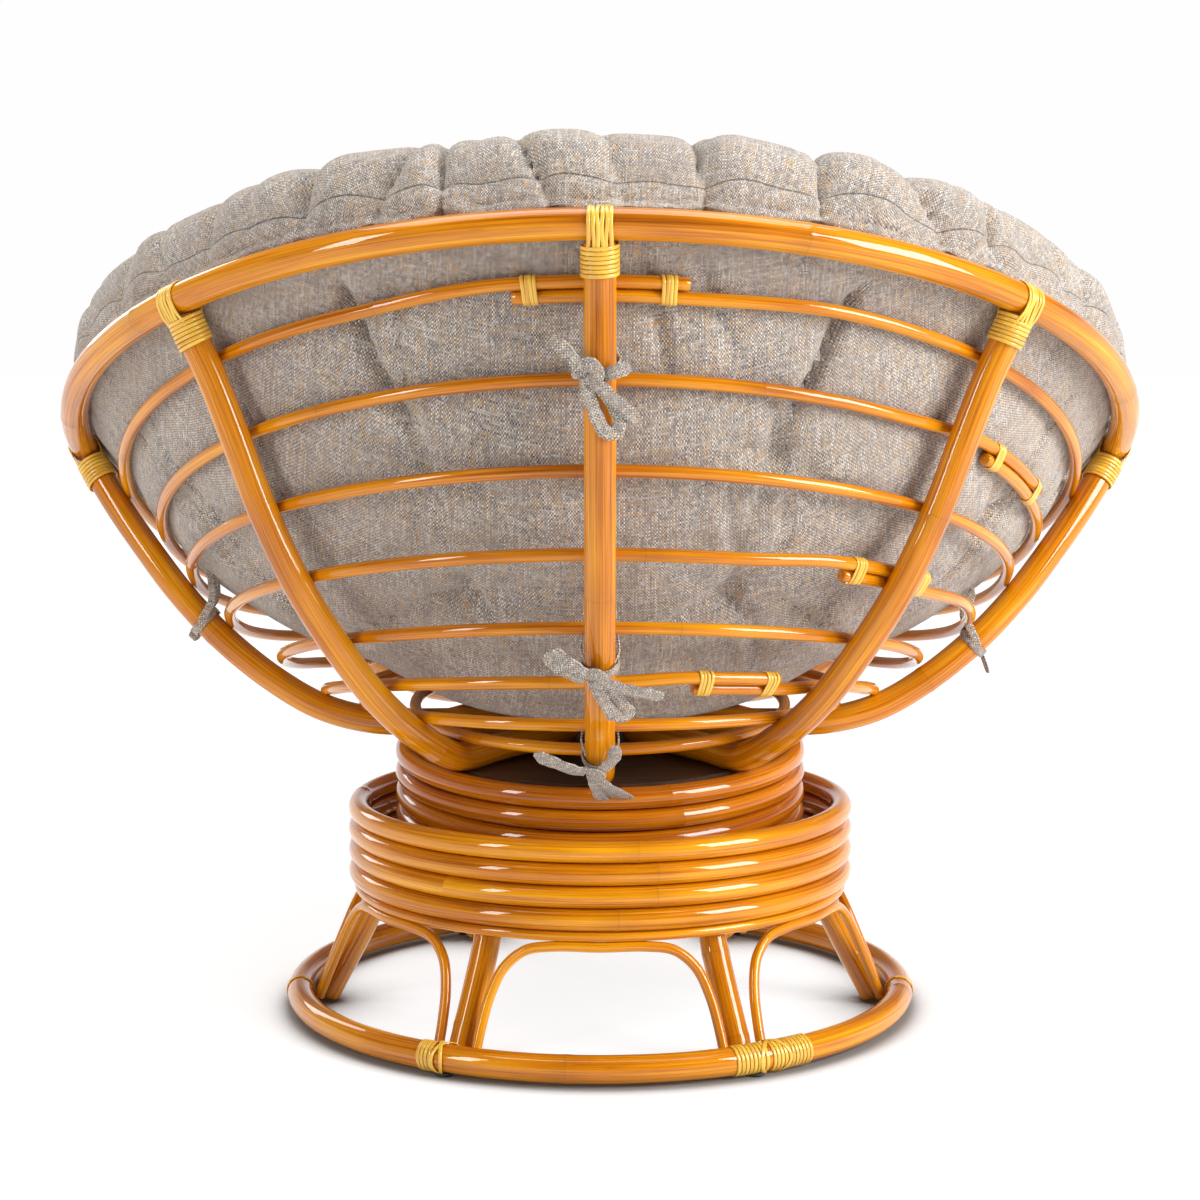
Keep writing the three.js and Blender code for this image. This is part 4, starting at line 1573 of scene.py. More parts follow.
    def build(self) -> None:
        """Adds the base."""
        ring = Pole(self.floor_path(), SIZES.floor_pole, 81, 24)
        add_piece("base_floor_ring", ring.surface(), self.rattan, Body.BASE, ("floor_ring",))
        angles = [math.radians(d) for d in SIZES.leg_degrees]
        for number, angle in enumerate(angles):
            leg = Pole(self.leg_path(angle), SIZES.leg_pole, 91 + number, 22, 0.006, node_gap=0.09)
            add_piece(
                f"base_leg_{number + 1}", leg.surface(), self.rattan, Body.BASE,
                (f"leg_{number + 1}",)
            )
            after = angles[(number + 1) % len(angles)]
            after = after if after > angle else after + FULL_TURN
            arch = Pole(
                self.arch_path(angle, after), SIZES.thin_rod, 101 + number, 14, 0.005, 0.0006,
                node_swell=0.0002
            )
            add_piece(
                f"base_arch_{number + 1}", arch.surface(), self.rattan, Body.BASE,
                (f"arch_{number + 1}",)
            )
        scarf = Surface.joined(
            [
                self.floor_winding(-34.4, 11, seed=1),
                self.floor_winding(-26.4, 8, seed=2),
                self.crossing(-30.0, 0.012, 3),
                self.crossing(-31.2, -0.012, 4),
            ]
        )
        add_piece("scarf_winding", scarf, self.cane, Body.BASE, ("scarf_lashing",))
        single = Surface.joined(
            [self.floor_winding(30.5, 4, seed=5), self.crossing(27.5, 0.008, 6), self.crossing(28.5, -0.007, 7)]
        )
        add_piece("leg_winding", single, self.cane, Body.BASE, ("leg_lashing",))
        sides = Surface.joined(
            [self.floor_winding(d, 2, seed=8 + k) for k, d in enumerate((84.0, -84.0, 150.0, -150.0))]
        )
        add_piece("side_windings", sides, self.cane, Body.BASE)
        glides = Surface.joined([self.glide(angle) for angle in angles])
        add_piece("floor_glides", glides, self.rubber, Body.BASE)


class Mechanism:
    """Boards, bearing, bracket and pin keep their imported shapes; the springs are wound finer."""

    def __init__(self, steel: bpy.types.Material, board: bpy.types.Material) -> None:
        """Takes the finishes."""
        self.steel = steel
        self.board = board

    def spring(self, node: str) -> None:
        """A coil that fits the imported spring's box: centre plus radius times the cosine and sine, rising evenly.

        Args:
            node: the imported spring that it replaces.
        """
        low, high = (np.array(corner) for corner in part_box(node))
        wire, turns = 0.002, 4.0
        middle = (low + high) / 2
        radius = (high[0] - low[0]) / 2 - wire
        t = np.linspace(0.0, 1.0, 241)
        top = high[2] - wire
        if node == "spring_back":
            slope = -math.tan(SIZES.rock_back)
            top = high[2] - wire - radius * math.tan(SIZES.rock_back)
        else:
            slope = -math.tan(SIZES.rock_back)
            top = high[2] - wire - radius * math.tan(SIZES.rock_back)
        turn = FULL_TURN * turns * t
        y = radius * np.cos(turn)
        height = low[2] + wire + (top - low[2] - wire + slope * y * t) * t
        points = np.stack([middle[0] + radius * np.sin(turn), middle[1] + y, height], axis=-1)
        path = SplinePath(points[::4], np.array([0.0, 0.0, 1.0]))
        pole = Pole(path, wire, 5, 10, 0.002, 0.0004, 0.0, 9.0)
        piece = bpy.data.objects.new(node + "_coil", pole.surface().mesh(node + "_coil"))
        bpy.context.scene.collection.objects.link(piece)
        piece.data.materials.append(self.steel)
        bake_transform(piece)
        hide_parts(node)

    def build(self) -> None:
        """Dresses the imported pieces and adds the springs."""
        plain = (
            "bearing_lower_plate", "bearing_ball_ring", "bearing_upper_plate", "rocker_bracket",
            "rocker_pin", "rocker_plate"
        )
        for node in plain + ("base_board", "seat_board"):
            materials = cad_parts[node].data.materials
            materials.clear()
            materials.append(self.board if node.endswith("board") else self.steel)
        self.spring("spring_back")
        self.spring("spring_front")


class Studio:
    """Floor, lights, backdrop and camera."""

    camera_back: float = 2.5
    camera_height: float = 0.688
    camera_pitch: float = math.radians(6.36)
    focal_pixels: float = 2493.0
    image_pixels: float = 1200.0

    def camera(self) -> None:
        """The camera behind the chair, at the photograph's height and angle."""
        data = bpy.data.cameras.new("camera")
        data.sensor_width = 36.0
        data.lens = self.focal_pixels / self.image_pixels * data.sensor_width
        camera = bpy.data.objects.new("camera", data)
        camera.location = (0.0, self.camera_back + SWIVEL_Y, self.camera_height)
        camera.rotation_euler = (math.pi / 2 - self.camera_pitch, 0.0, math.pi)
        bpy.context.scene.collection.objects.link(camera)
        bpy.context.scene.camera = camera

    def floor(self) -> None:
        """A wide pale floor that glows a little, like a light table; the glow is lower near the chair and behind the
        camera, and ambient occlusion cuts it to a painted contact shadow under the chair.
        """
        mesh = bpy.data.meshes.new("floor")
        mesh.from_pydata([(-30, -30, 0), (30, -30, 0), (30, 30, 0), (-30, 30, 0)], [], [(0, 1, 2, 3)])
        floor = bpy.data.objects.new("floor", mesh)
        bpy.context.scene.collection.objects.link(floor)
        s = Shader("floor")
        mottle = s.noise(s.place(), (3.0, 3.0, 3.0), 2.0)
        colour = s.mix((0.28, 0.28, 0.28), (0.3, 0.3, 0.3), mottle)
        away = s.node("ShaderNodeVectorMath", {"operation": "LENGTH"}, {0: s.place()}, output=1)
        # Ambient occlusion, 0 close under the chair's parts and 1 in the open; below it cuts the glow to a painted
        # contact shadow.
        outside_painted_shadow = s.node("ShaderNodeAmbientOcclusion", {"samples": 8}, {"Distance": 0.09}, output=1).step(
            0.42, 0.96
        )
        # The glow stands in for light on the floor: a little lower near the chair, a painted shade, and lower again
        # behind the camera.
        glow = s.mix((0.86, 0.86, 0.86), (1.0, 1.0, 1.0), away.step(1.1, 3.4))
        behind = s.axis(s.place(), 1).step(2.4, 3.8)
        glow = s.mix(glow, (0.42, 0.42, 0.42), behind)
        glow = s.mix((0.0, 0.0, 0.0), glow, outside_painted_shadow)
        mesh.materials.append(
            s.surface(Base_Color=colour, Roughness=0.7, Emission_Color=glow, Emission_Strength=0.98)
        )

    def sky(self) -> None:
        """White round the horizon, as a backdrop is, and dimmer overhead."""
        world = bpy.data.worlds.new("studio")
        world.use_nodes = True
        nodes, links = world.node_tree.nodes, world.node_tree.links
        coordinates, split = nodes.new("ShaderNodeTexCoord"), nodes.new("ShaderNodeSeparateXYZ")
        fall = nodes.new("ShaderNodeMapRange")
        fall.interpolation_type = "SMOOTHSTEP"
        for key, value in {"From Min": 0.13, "From Max": 0.34, "To Min": 1.0, "To Max": 0.14}.items():
            fall.inputs[key].default_value = value
        links.new(coordinates.outputs["Generated"], split.inputs[0])
        links.new(split.outputs[2], fall.inputs["Value"])
        behind = nodes.new("ShaderNodeMapRange")
        behind.interpolation_type = "SMOOTHSTEP"
        for key, value in {"From Min": -0.2, "From Max": 0.6, "To Min": 1.0, "To Max": 0.42}.items():
            behind.inputs[key].default_value = value
        links.new(split.outputs[1], behind.inputs["Value"])
        both = nodes.new("ShaderNodeMath")
        both.operation = "MULTIPLY"
        links.new(fall.outputs[0], both.inputs[0])
        links.new(behind.outputs[0], both.inputs[1])
        links.new(both.outputs[0], nodes["Background"].inputs[1])
        nodes["Background"].inputs[0].default_value = (1.0, 0.99, 0.99, 1.0)
        bpy.context.scene.world = world

    def light(self, name: str, place: Colour, size: Colour, power: float) -> None:
        """A soft box that looks at the chair's middle.

        Args:
            name: the light's name.
            place: where it stands, from the swivel's axis.
            size: its width and height.
            power: in watts.
        """
        data = bpy.data.lights.new(name, "AREA")
        data.shape = "RECTANGLE"
        data.size, data.size_y = size[0], size[1]
        data.energy = power
        light = bpy.data.objects.new(name, data)
        where = np.array(place) + [0.0, SWIVEL_Y, 0.0]
        aim = np.array([0.0, SWIVEL_Y, 0.4]) - where
        light.location = where
        flat = math.hypot(aim[0], aim[1])
        light.rotation_euler = (math.atan2(flat, -aim[2]), 0.0, math.atan2(-aim[0], aim[1]))
        bpy.context.scene.collection.objects.link(light)

    def build(self) -> None:
        """Adds the studio."""
        self.camera()
        self.floor()
        self.sky()
        bpy.context.scene.view_settings.view_transform = "Standard"
        self.light("key_right", (-2.45, 1.4, 1.5), (1.35, 1.5, 0.0), 102.0)
        self.light("fill_left", (2.0, 1.75, 1.5), (0.45, 1.3, 0.0), 24.0)
        self.light("top", (0.0, 0.1, 2.6), (2.4, 1.6, 0.0), 50.0)
        self.light("front_left", (1.9, -1.9, 1.6), (0.8, 1.3, 0.0), 16.0)


@dataclass(frozen=True)
class Bow:
    """A bow's tapes, each a line of points in millimetres: to the right, up the rib and out from it."""

    tapes: tuple[tuple[Colour, ...], ...]


KNOT = ((-8, -5, 3), (-8, 4, 8), (2, 8, 11), (8, 1, 11), (5, -7, 9), (-4, -8, 6))
BOW_HIGH = Bow(
    (
        KNOT,
        ((0, 0, 6), (-9, 8, 10), (-20, 20, 9), (-31, 30, 6)),
        ((9, -2, 4), (18, 0, 8), (27, 3, 9), (36, 6, 6)),
        ((-1, -2, 7), (10, -11, 11), (22, -22, 10), (34, -33, 8), (42, -41, 5)),
        ((-3, -4, 6), (1, -20, 9), (8, -38, 8), (14, -49, 6), (21, -51, 5), (27, -42, 5), (21, -26, 6), (8, -8, 6)),
    )
)
BOW_MIDDLE = Bow(
    (
        KNOT,
        ((4, -2, 5), (-10, 10, 11), (-24, 22, 10), (-33, 27, 6), (-38, 18, 4), (-28, 8, 5), (-8, -4, 6)),
        ((-2, 0, 6), (16, -5, 11), (38, -13, 10), (62, -22, 6)),
        ((0, -2, 6), (6, -16, 9), (14, -34, 8), (24, -46, 5), (32, -42, 4), (24, -28, 6), (8, -6, 6)),
        ((1, -3, 6), (8, -22, 9), (16, -38, 8), (17, -48, 5)),
    )
)
BOW_LOW = Bow(
    (
        KNOT,
        ((4, 0, 5), (-14, 10, 10), (-34, 24, 9), (-46, 28, 5), (-44, 18, 4), (-26, 6, 6), (-6, -3, 6)),
        ((-2, 2, 6), (10, 10, 9), (20, 24, 8), (22, 40, 4)),
        ((0, -2, 6), (10, -14, 10), (24, -32, 9), (34, -48, 5), (26, -52, 4), (12, -34, 6), (2, -6, 6)),
        ((1, -3, 6), (4, -20, 9), (8, -40, 8), (14, -60, 5)),
    )
)
SIDE_LOOPS = (
    KNOT,
    ((0, 2, 5), (2, 12, 7), (2, 26, 4), (1, 36, -1), (-3, 28, -4), (-2, 12, -1), (0, 3, 3)),
    ((0, -2, 5), (-2, -14, 7), (-2, -28, 4), (1, -37, -1), (3, -28, -4), (2, -12, -1), (0, -3, 3)),
    ((2, -1, 5), (-2, -14, 9), (-3, -26, 7), (-2, -38, 3)),
)
BOW_LEFT = Bow((*SIDE_LOOPS, ((1, -1, 6), (3, -2, 11), (6, -3, 17), (9, -3, 22))))
BOW_RIGHT = Bow((*SIDE_LOOPS, ((1, -1, 6), (1, -2, 14), (1, -5, 25), (1, -9, 36))))


class Ties:
    """Tapes of the cushion's cloth, tied in bows round the ribs."""

    width: float = 0.012
    places: tuple[tuple[str, int, float, Bow, float, float], ...] = (
        ("high", 0, 8.1, BOW_HIGH, 0.03, -0.01),
        ("middle", 0, 4.62, BOW_MIDDLE, 0.07, -0.006),
        ("low", 0, 2.66, BOW_LOW, 0.05, -0.008),
        ("left", 2, 6.4, BOW_LEFT, 0.035, -0.026),
        ("right", 6, 5.9, BOW_RIGHT, 0.035, 0.026),
    )

    def __init__(self, cloth: bpy.types.Material) -> None:
        """Takes the finish."""
        self.cloth = cloth

    def tapes(self, rib: int, control: float, bow: Bow, rise: float, aside: float) -> list[Ribbon]:
        """The bow's tapes on a rib, with the turn round the rib and two ends that run in to the cushion.

        Args:
            rib: the rib's number from 0 at the back.
            control: the place on the rib, in its points.
            bow: the bow.
            rise: how much higher the ends meet the cushion.
            aside: how far the knot sits to the right of the rib's middle.

        Returns:
            The ribbons, from the rocking axis.
        """
        angle = FULL_TURN * rib / SIZES.rib_count
        path = rib_path(angle)
        share = np.array([path.share_of(control)])
        up = path.tangent(share)[0]
        right = around(1.0, angle - math.pi / 2, 0.0)
        out = unit(np.cross(right, up))
        centre = path.at(share)[0]
        axes = np.array([right, up, out])
        front = centre + right * aside + out * (SIZES.rib_pole + 0.001 - abs(aside) * 0.35)
        lines = [front + np.array(tape) / 1000.0 @ axes for tape in bow.tapes]
        turn = np.radians(np.arange(-170.0, 171.0, 20.0))
        loop = np.stack([np.sin(turn), 0.12 * turn / math.pi, np.cos(turn)], axis=-1) * (
            SIZES.rib_pole + 0.0022
        )
        ribbons = [
            Ribbon(SplinePath(line, out), self.width, seed=31 * rib + k) for k, line in enumerate(lines)
        ]
        ribbons.append(Ribbon(LoopPath(centre + loop @ axes, centre), 0.009, 0.0022, 3))
        for side in (-1.0, 1.0):
            depth = -0.027 - 0.5 * rise
            inner = np.array(
                [[13 * side, 2, 4], [17 * side, 6, -12], [15 * side, 300 * rise, -24], [12 * side, 1000 * rise, 1000 * depth]]
            )
            ribbons.append(Ribbon(SplinePath(centre + inner / 1000.0 @ axes, right), 0.008, 0.0022, 5))
        return ribbons

    def build(self) -> None:
        """Adds every tie."""
        for name, rib, control, bow, rise, aside in self.places:
            ribbons = self.tapes(rib, control, bow, rise, aside)
            surface = Surface.joined([ribbon.surface() for ribbon in ribbons])
            surface.points = rocked(surface.points)
            piece = add_piece(f"cushion_tie_{name}", surface, self.cloth, Body.BOWL)
            length = sum(ribbon.path.length() for ribbon in ribbons)
            f"bowl_rib_{rib + 1}"


class Cushion:
    """A round padded cushion: two panels that meet at a seam round the edge, drawn in by gathers and tufts."""

    rows: int = 150
    columns: int = 640
    hollow: float = 0.036
    valley: float = 0.019
    off: tuple[float, ...] = (0.6, 1.0, 0.95, 0.6, 0.5, 0.17, 0.0, 0.0)
    rest: float = 0.0085
    thickness: float = 0.104
    seam_control: int = 13
    gathers: tuple[tuple[float, float], ...] = (
        (14.7, 1.0), (5.4, 0.8), (-1.8, 0.35), (-9.4, 0.9), (-20.8, 1.0), (-33.7, 0.8), (-40.4, 0.5), (
            -53.7, 0.6
        ),
        (20.3, 0.7), (28.8, 0.6), (41.0, 0.5), (48.0, 0.4), (57.0, 0.5),
    )

    folds: tuple[tuple[float, tuple[tuple[float, float], ...]], ...] = (
        (0.021, ((26.9, 9.5), (26.8, 8.95), (26.0, 8.55), (23.4, 7.65))),
        (0.0095, ((20.8, 9.5), (22.0, 8.9), (22.5, 8.5), (22.4, 7.7))),
        (0.021, ((-27.6, 9.5), (-26.6, 8.9), (-25.0, 8.2), (-21.8, 7.5))),
        (0.0081, ((-4.0, 9.5), (-6.5, 8.55), (-8.0, 8.0))),
        (0.0095, ((48.4, 9.5), (46.0, 8.3), (45.0, 7.5))),
        (0.0081, ((49.2, 8.0), (45.0, 7.05), (38.0, 6.2))),
        (0.0108, ((-30.0, 5.3), (-45.0, 4.8), (-60.0, 4.4))),
        (0.0108, ((29.0, 5.2), (50.0, 4.7), (66.0, 4.3))),
        (0.0095, ((-22.5, 7.3), (-31.0, 7.0), (-40.0, 6.9))),
        (0.0081, ((-9.4, 9.5), (-12.0, 8.9), (-19.0, 7.9))),
        (0.0068, ((5.4, 9.5), (9.0, 8.8), (18.0, 7.7))),
    )

    def __init__(self, cloth: bpy.types.Material) -> None:
        """Takes the finish and works out the grid.

        Args:
            cloth: the cloth's finish.
        """
        self.cloth = cloth
        self.random = np.random.default_rng(7)
        self.angle = -np.arange(self.columns) * FULL_TURN / self.columns
        controls = self.controls(self.angle)
        dense = catmull_rom(controls, np.linspace(0.0, 1.0, 601))
        walked = np.linalg.norm(np.diff(dense, axis=0), axis=2).mean(axis=1)
        walked = np.append(0.0, np.cumsum(walked))
        share = np.linspace(0.0, 1.0, 601)
        seam = walked[int(600 * self.seam_control / (len(controls) - 1))]
        crowd = 0.55 + 2.6 * np.exp(-(((walked - seam) / 0.065) ** 2)) + 0.5 * smooth_step(0.08, 0.3, walked) * (
            walked < seam
        )
        crowd = np.append(0.0, np.cumsum((crowd[1:] + crowd[:-1]) / 2 * np.diff(walked)))
        self.arc = np.interp(np.linspace(0.0, crowd[-1], self.rows), crowd, walked)
        share = np.interp(self.arc, walked, share)
        self.station = share * (len(controls) - 1)
        self.base = catmull_rom(controls, share)
        self.seam = int(np.argmin(np.abs(self.station - self.seam_control)))
        self.past = self.arc - self.arc[self.seam]
        self.sway = 0.004 * round_wavy(self.angle, 21, 6)

    def controls(self, angle: Array) -> Array:
        """Rows of points from the middle of the underside, over the rim and the edge, to the middle of the top.

        The top's inner rows are drawn toward their neighbours' mean, so that the seat runs smoothly into
        the back.

        Args:
            angle: places round the chair.

        Returns:
            The outline's points at each.
        """
        low = SIZES.hoop_level + self.rest + self.hollow * self.off[0] / 2
        high = SIZES.hoop_level + self.thickness + 0.006
        half = SHAPE.radius[0] / 2
        under = [around(0.004, angle, low), around(half, angle, low)]
        top = [around(0.004, angle, high - 0.016), around(half, angle, high + 0.012)]
        for row in range(RIM_ROW):
            point, normal = SHAPE.point(row, angle), SHAPE.normal(row, angle)
            under.append(point + normal * (self.rest + self.hollow * self.off[row]))
            top.append(point + normal * self.thickness)
        beside = [
            (-0.0158, 0.0042), (-0.0085, 0.0146), (0.0, 0.0172), (0.003, 0.044), (-0.002, 0.081),
            (-0.031, 0.103)
        ]
        edge = [SHAPE.beside_rim(angle, out, up) for out, up in beside]
        rows = np.array(top)
        for _ in range(3):
            rows[2:7] = (rows[1:6] + 2 * rows[2:7] + rows[3:8]) / 4
        return np.concatenate([np.array(under + edge), rows[::-1]])

    def edge_relief(self) -> Array:
        """Height of the gathers and of the pillows between them.

        Between two gathers the edge swells as a half sine, and at each gather it falls by its depth times
        the exponential of less the distance over its width. Both fade with the square of the distance from
        the seam, and there is no swelling where the rim presses.

        Returns:
            A height for each point of the grid.
        """
        known = np.array(self.gathers)
        rest = np.arange(67.0, 303.0, 10.6)
        rest = rest + self.random.uniform(-3.4, 3.4, len(rest))
        weights = self.random.uniform(0.3, 1.0, len(rest))
        minor = self.random.uniform(0.0, 360.0, 46)
        places = np.radians(np.concatenate([known[:, 0] % 360.0, rest, minor]))
        depth = np.concatenate([known[:, 1], weights, self.random.uniform(0.08, 0.3, len(minor))])
        tilt = self.random.uniform(-0.9, 0.9, len(places))
        e = self.past[:, None]
        away = self.angle[None, :, None] - places[None, None, :] - (tilt * e)[:, None, :]
        away = (away + math.pi) % FULL_TURN - math.pi
        distance = np.abs(away) * SIZES.rim_radius
        width = 0.0048 + 0.045 * np.abs(e)[:, :, None]
        fall = (depth * np.exp(-distance / width)).sum(axis=2)
        nearest = np.sort(distance[:, :, : len(known) + len(rest)], axis=2)
        t = nearest[:, :, 0] / (nearest[:, :, 0] + nearest[:, :, 1])
        swell = np.sin(math.pi * t) ** 0.4 * (1.0 + 1.2 * round_wavy(self.angle, 9, 2, 4)) * (
            0.5 + nearest[:, :, 1] * 4.0
        )
        reach = np.where(e > 0, 0.085, 0.07)
        fade = np.exp(-((e / reach) ** 2))
        press = 1.0 - np.exp(-(((self.past[:, None] + 0.036) / 0.022) ** 2))
        near_seam = 1.0 - 0.6 * np.exp(-((e / 0.016) ** 2))
        small = 0.004 * round_wavy(self.angle, 3, 19) * fade * press
        return fade * (0.0085 * swell * press - 0.017 * fall * near_seam * np.where(e > 0, 1.0, 0.55)) + small

    def fold_relief(self, points: Array) -> Array:
        """Height of the long folds of the underside, which run from under the rim to the tufts.

        Each is a line of places (degrees round the chair, control row). It falls by its depth times the
        exponential of less the distance from the line over 5 mm, fades at both ends, and has a soft lip of a
        third of its depth on one side.

        Args:
            points: the grid.

        Returns:
            A height for each point of the grid.
        """
        radius = np.hypot(points[..., 0], points[..., 1])
        folds = list(self.folds)
        for number in range(3, 14):
            spot = 22.5 * (number if number % 2 else number + 0.35)
            turn, lift = self.random.uniform(-7.0, 7.0), self.random.uniform(0.0, 0.3)
            folds.append((0.008, ((spot + turn, 9.5), (spot + 0.7 * turn, 8.8 - lift), (spot, 7.6))))
            folds.append((0.006, ((spot - turn, 8.9), (spot - turn / 2, 8.0), (spot - 2.0, 7.2))))
        relief = np.zeros(radius.shape)
        for depth, places in folds:
            line = catmull_rom(np.array(places), np.linspace(0.0, 1.0, 25))
            arc = np.interp(line[:, 1], self.station, self.arc)
            best = np.full(radius.shape, 9.0)
            lip, fade = np.zeros(radius.shape), np.zeros(radius.shape)
            for k in range(24):
                bearing = math.radians(line[k, 0])
                x = ((self.angle - bearing + math.pi) % FULL_TURN - math.pi)[None, :] * radius
                y = (self.arc - arc[k])[:, None] + 0.0 * x
                run = (math.radians(line[k + 1, 0]) - bearing) * radius
                rise = arc[k + 1] - arc[k]
                share = np.clip((x * run + y * rise) / (run * run + rise * rise), 0.0, 1.0)
                off = np.hypot(x - share * run, y - share * rise)
                closer = off < best
                best = np.where(closer, off, best)
                lip = np.where(closer, np.where(x * rise - y * run > 0, 1.0, 0.0), lip)
                fade = np.where(closer, np.sin(math.pi * (0.12 + 0.8 * (k + share) / 24)), fade)
            relief += depth * fade * (
                0.35 * lip * np.exp(-(((best - 0.013) / 0.01) ** 2)) - np.exp(-best / 0.005)
            )
        return relief

    def tufts(self) -> list[tuple[float, float, float]]:
        """Place and depth of each tuft: its control row, its angle and how deep it is drawn.

        Returns:
            The place, angle and depth of each.
        """
        found = []
        last = len(self.off) * 2 + 9
        for k in range(SIZES.rib_count):
            angle = math.radians(22.5 + 45.0 * k) + self.random.uniform(-0.02, 0.02)
            for row, under, over in ((7.35, 0.015, 0.034), (5.2, 0.016, 0.036)):
                found.append((row, angle, under))
                found.append((last - row, angle, over))
        return found

    def tuft_relief(self, points: Array) -> Array:
        """Height of the tufts: a bell for each, and creases that run out from it along straight rays.

        A ray's crease falls by the exponential of less the distance from the ray over 4 mm, and fades
        along it.

        Args:
            points: the grid.

        Returns:
            A height for each point of the grid.
        """
        relief = np.zeros(points.shape[:2])
        radius = np.hypot(points[..., 0], points[..., 1])
        for control, angle, depth in self.tufts():
            row = int(np.argmin(np.abs(self.station - control)))
            away = (self.angle - angle + math.pi) % FULL_TURN - math.pi
            x = away[None, :] * radius
            y = (self.arc - self.arc[row])[:, None] + 0.0 * x
            r = np.hypot(x, y)
            spread = 0.03 if depth < 0.02 else 0.045
            relief -= depth * (0.75 * np.exp(-((r / spread) ** 2)) + 0.45 * np.exp(-r / 0.012))
            rays = 8
            turns = FULL_TURN * (np.arange(rays) + self.random.uniform(0.1, 0.9, rays)) / rays
            lengths = self.random.uniform(0.06, 0.15, rays)
            depths = self.random.uniform(0.002, 0.0065, rays)
            for turn, length, cut in zip(turns, lengths, depths):
                along = x * math.cos(turn) + y * math.sin(turn)
                bend = 0.004 * np.sin(along * 40.0 + turn * 3)
                across = np.abs(y * math.cos(turn) - x * math.sin(turn) + bend)
                fade = smooth_step(-0.002, 0.015, along) * (1.0 - smooth_step(0.4 * length, length, along))
                relief += cut * fade * (
                    0.6 * np.exp(-(((across - 0.012) / 0.007) ** 2)) - np.exp(-across / 0.0045)
                )
        return relief

    def valley_relief(self, points: Array) -> Array:
        """Height of the valleys that join the tufts on the top.

        Each falls as a bell of the distance from its line: lines run out from the middle through the tufts to
        the edge, and round the chair through each ring of tufts.

        Args:
            points: the grid.

        Returns:
            A height for each point of the grid.
        """
        last = len(self.off) * 2 + 9
        top = smooth_step(self.seam_control + 1.5, last - 8.0, self.station)[:, None]
        radius = np.hypot(points[..., 0], points[..., 1])
        half = FULL_TURN / SIZES.rib_count
        away = np.abs((self.angle + 0.04 * round_wavy(self.angle, 5, 2)) % half - half / 2)
        spoke = np.exp(-((away[None, :] * radius / 0.017) ** 2))
        ring = np.zeros_like(spoke)
        for control in (last - 7.35, last - 5.2):
            off = self.arc - np.interp(control, self.station, self.arc)
            bent = off[:, None] + 0.012 * np.cos(2 * away / half * math.pi)[None, :] - 0.012
            ring = np.maximum(ring, np.exp(-((bent / 0.018) ** 2)))
        inner = smooth_step(0.05, 0.12, radius)
        swell = 0.5 + 0.5 * np.cos(FULL_TURN * away / half + math.pi)[None, :]
        return top * inner * (0.011 * swell - self.valley * np.maximum(spoke, 0.75 * ring))

    def swell_room(self) -> Array:
        """How far the simulation may push each row out: little on the hoops and the rim, more elsewhere.

        Returns:
            A height for each row.
        """
        between = (1.0 - np.cos(FULL_TURN * (self.station - 1.0))) / 2
        lifted = np.interp(self.station, np.arange(2, 10), np.array(self.off) * self.hollow)
        room = np.where(
            self.station < self.seam_control - 0.6, 0.0008 + 0.0035 * between + 0.5 * lifted, 0.012
        )
        room = np.where((self.station > 9.2) & (self.station < self.seam_control - 0.6), 0.0008, room)
        return room

    def simulated(self, points: Array) -> Array:
        """The coarse grid blown up by the cloth simulation, as offsets from where it started.

        Args:
            points: the coarse grid.

        Returns:
            How far each point moved.
        """
        rows, columns = points.shape[:2]
        surface = skin(points, False, {})
        piece = bpy.data.objects.new("cushion_swelling", surface.mesh("cushion_swelling"))
        bpy.context.scene.collection.objects.link(piece)
        still = self.still(rows, columns, points)
        group = piece.vertex_groups.new(name="still")
        held = np.append(still.ravel(), [1.0, 1.0])
        for weight in np.unique(held[held > 0]):
            group.add(np.flatnonzero(held == weight).tolist(), float(weight), "REPLACE")
        cloth = piece.modifiers.new("cloth", "CLOTH")
        settings = cloth.settings
        settings.quality = 5
        settings.mass = 0.3
        settings.tension_stiffness = settings.compression_stiffness = 12.0
        settings.shear_stiffness = 4.0
        settings.bending_stiffness = 0.3
        settings.vertex_group_mass = "still"
        settings.use_pressure = True
        settings.uniform_pressure_force = 4.0
        settings.effector_weights.gravity = 0.0
        cloth.collision_settings.use_collision = False
        cloth.point_cache.frame_start, cloth.point_cache.frame_end = 1, 20
        scene = bpy.context.scene
        for number in range(1, 21):
            scene.frame_set(number)
        shown = piece.evaluated_get(bpy.context.evaluated_depsgraph_get())
        moved = np.empty(len(shown.data.vertices) * 3)
        shown.data.vertices.foreach_get("co", moved)
        moved = moved.reshape(-1, 3)[: rows * columns].reshape(rows, columns, 3)
        mesh = piece.data
        bpy.data.objects.remove(piece)
        bpy.data.meshes.remove(mesh)
        scene.frame_set(1)
        return moved - points

    def still(self, rows: int, columns: int, points: Array) -> Array:
        """Weights of the points that the simulation keeps in place: the middle, the seam, the rim and the tufts.

        Args:
            rows: the coarse grid's rows.
            columns: its columns.
            points: its points.

        Returns:
            A weight for each point.
        """
        station, arc = self.station[::2], self.arc[::2]
        weight = np.zeros((rows, columns))
        radius = np.hypot(points[..., 0], points[..., 1])
        weight[radius < 0.06] = 1.0
        weight[(station > 9.9) & (station < 12.2)] = 1.0
        angles = self.angle[::2][:columns]
        for control, angle, _ in self.tufts():
            row = int(np.argmin(np.abs(station - control)))
            away = (angles - angle + math.pi) % FULL_TURN - math.pi
            r = np.hypot(away[None, :] * radius, (arc - arc[row])[:, None])
            weight[r < 0.014] = 1.0
        return weight

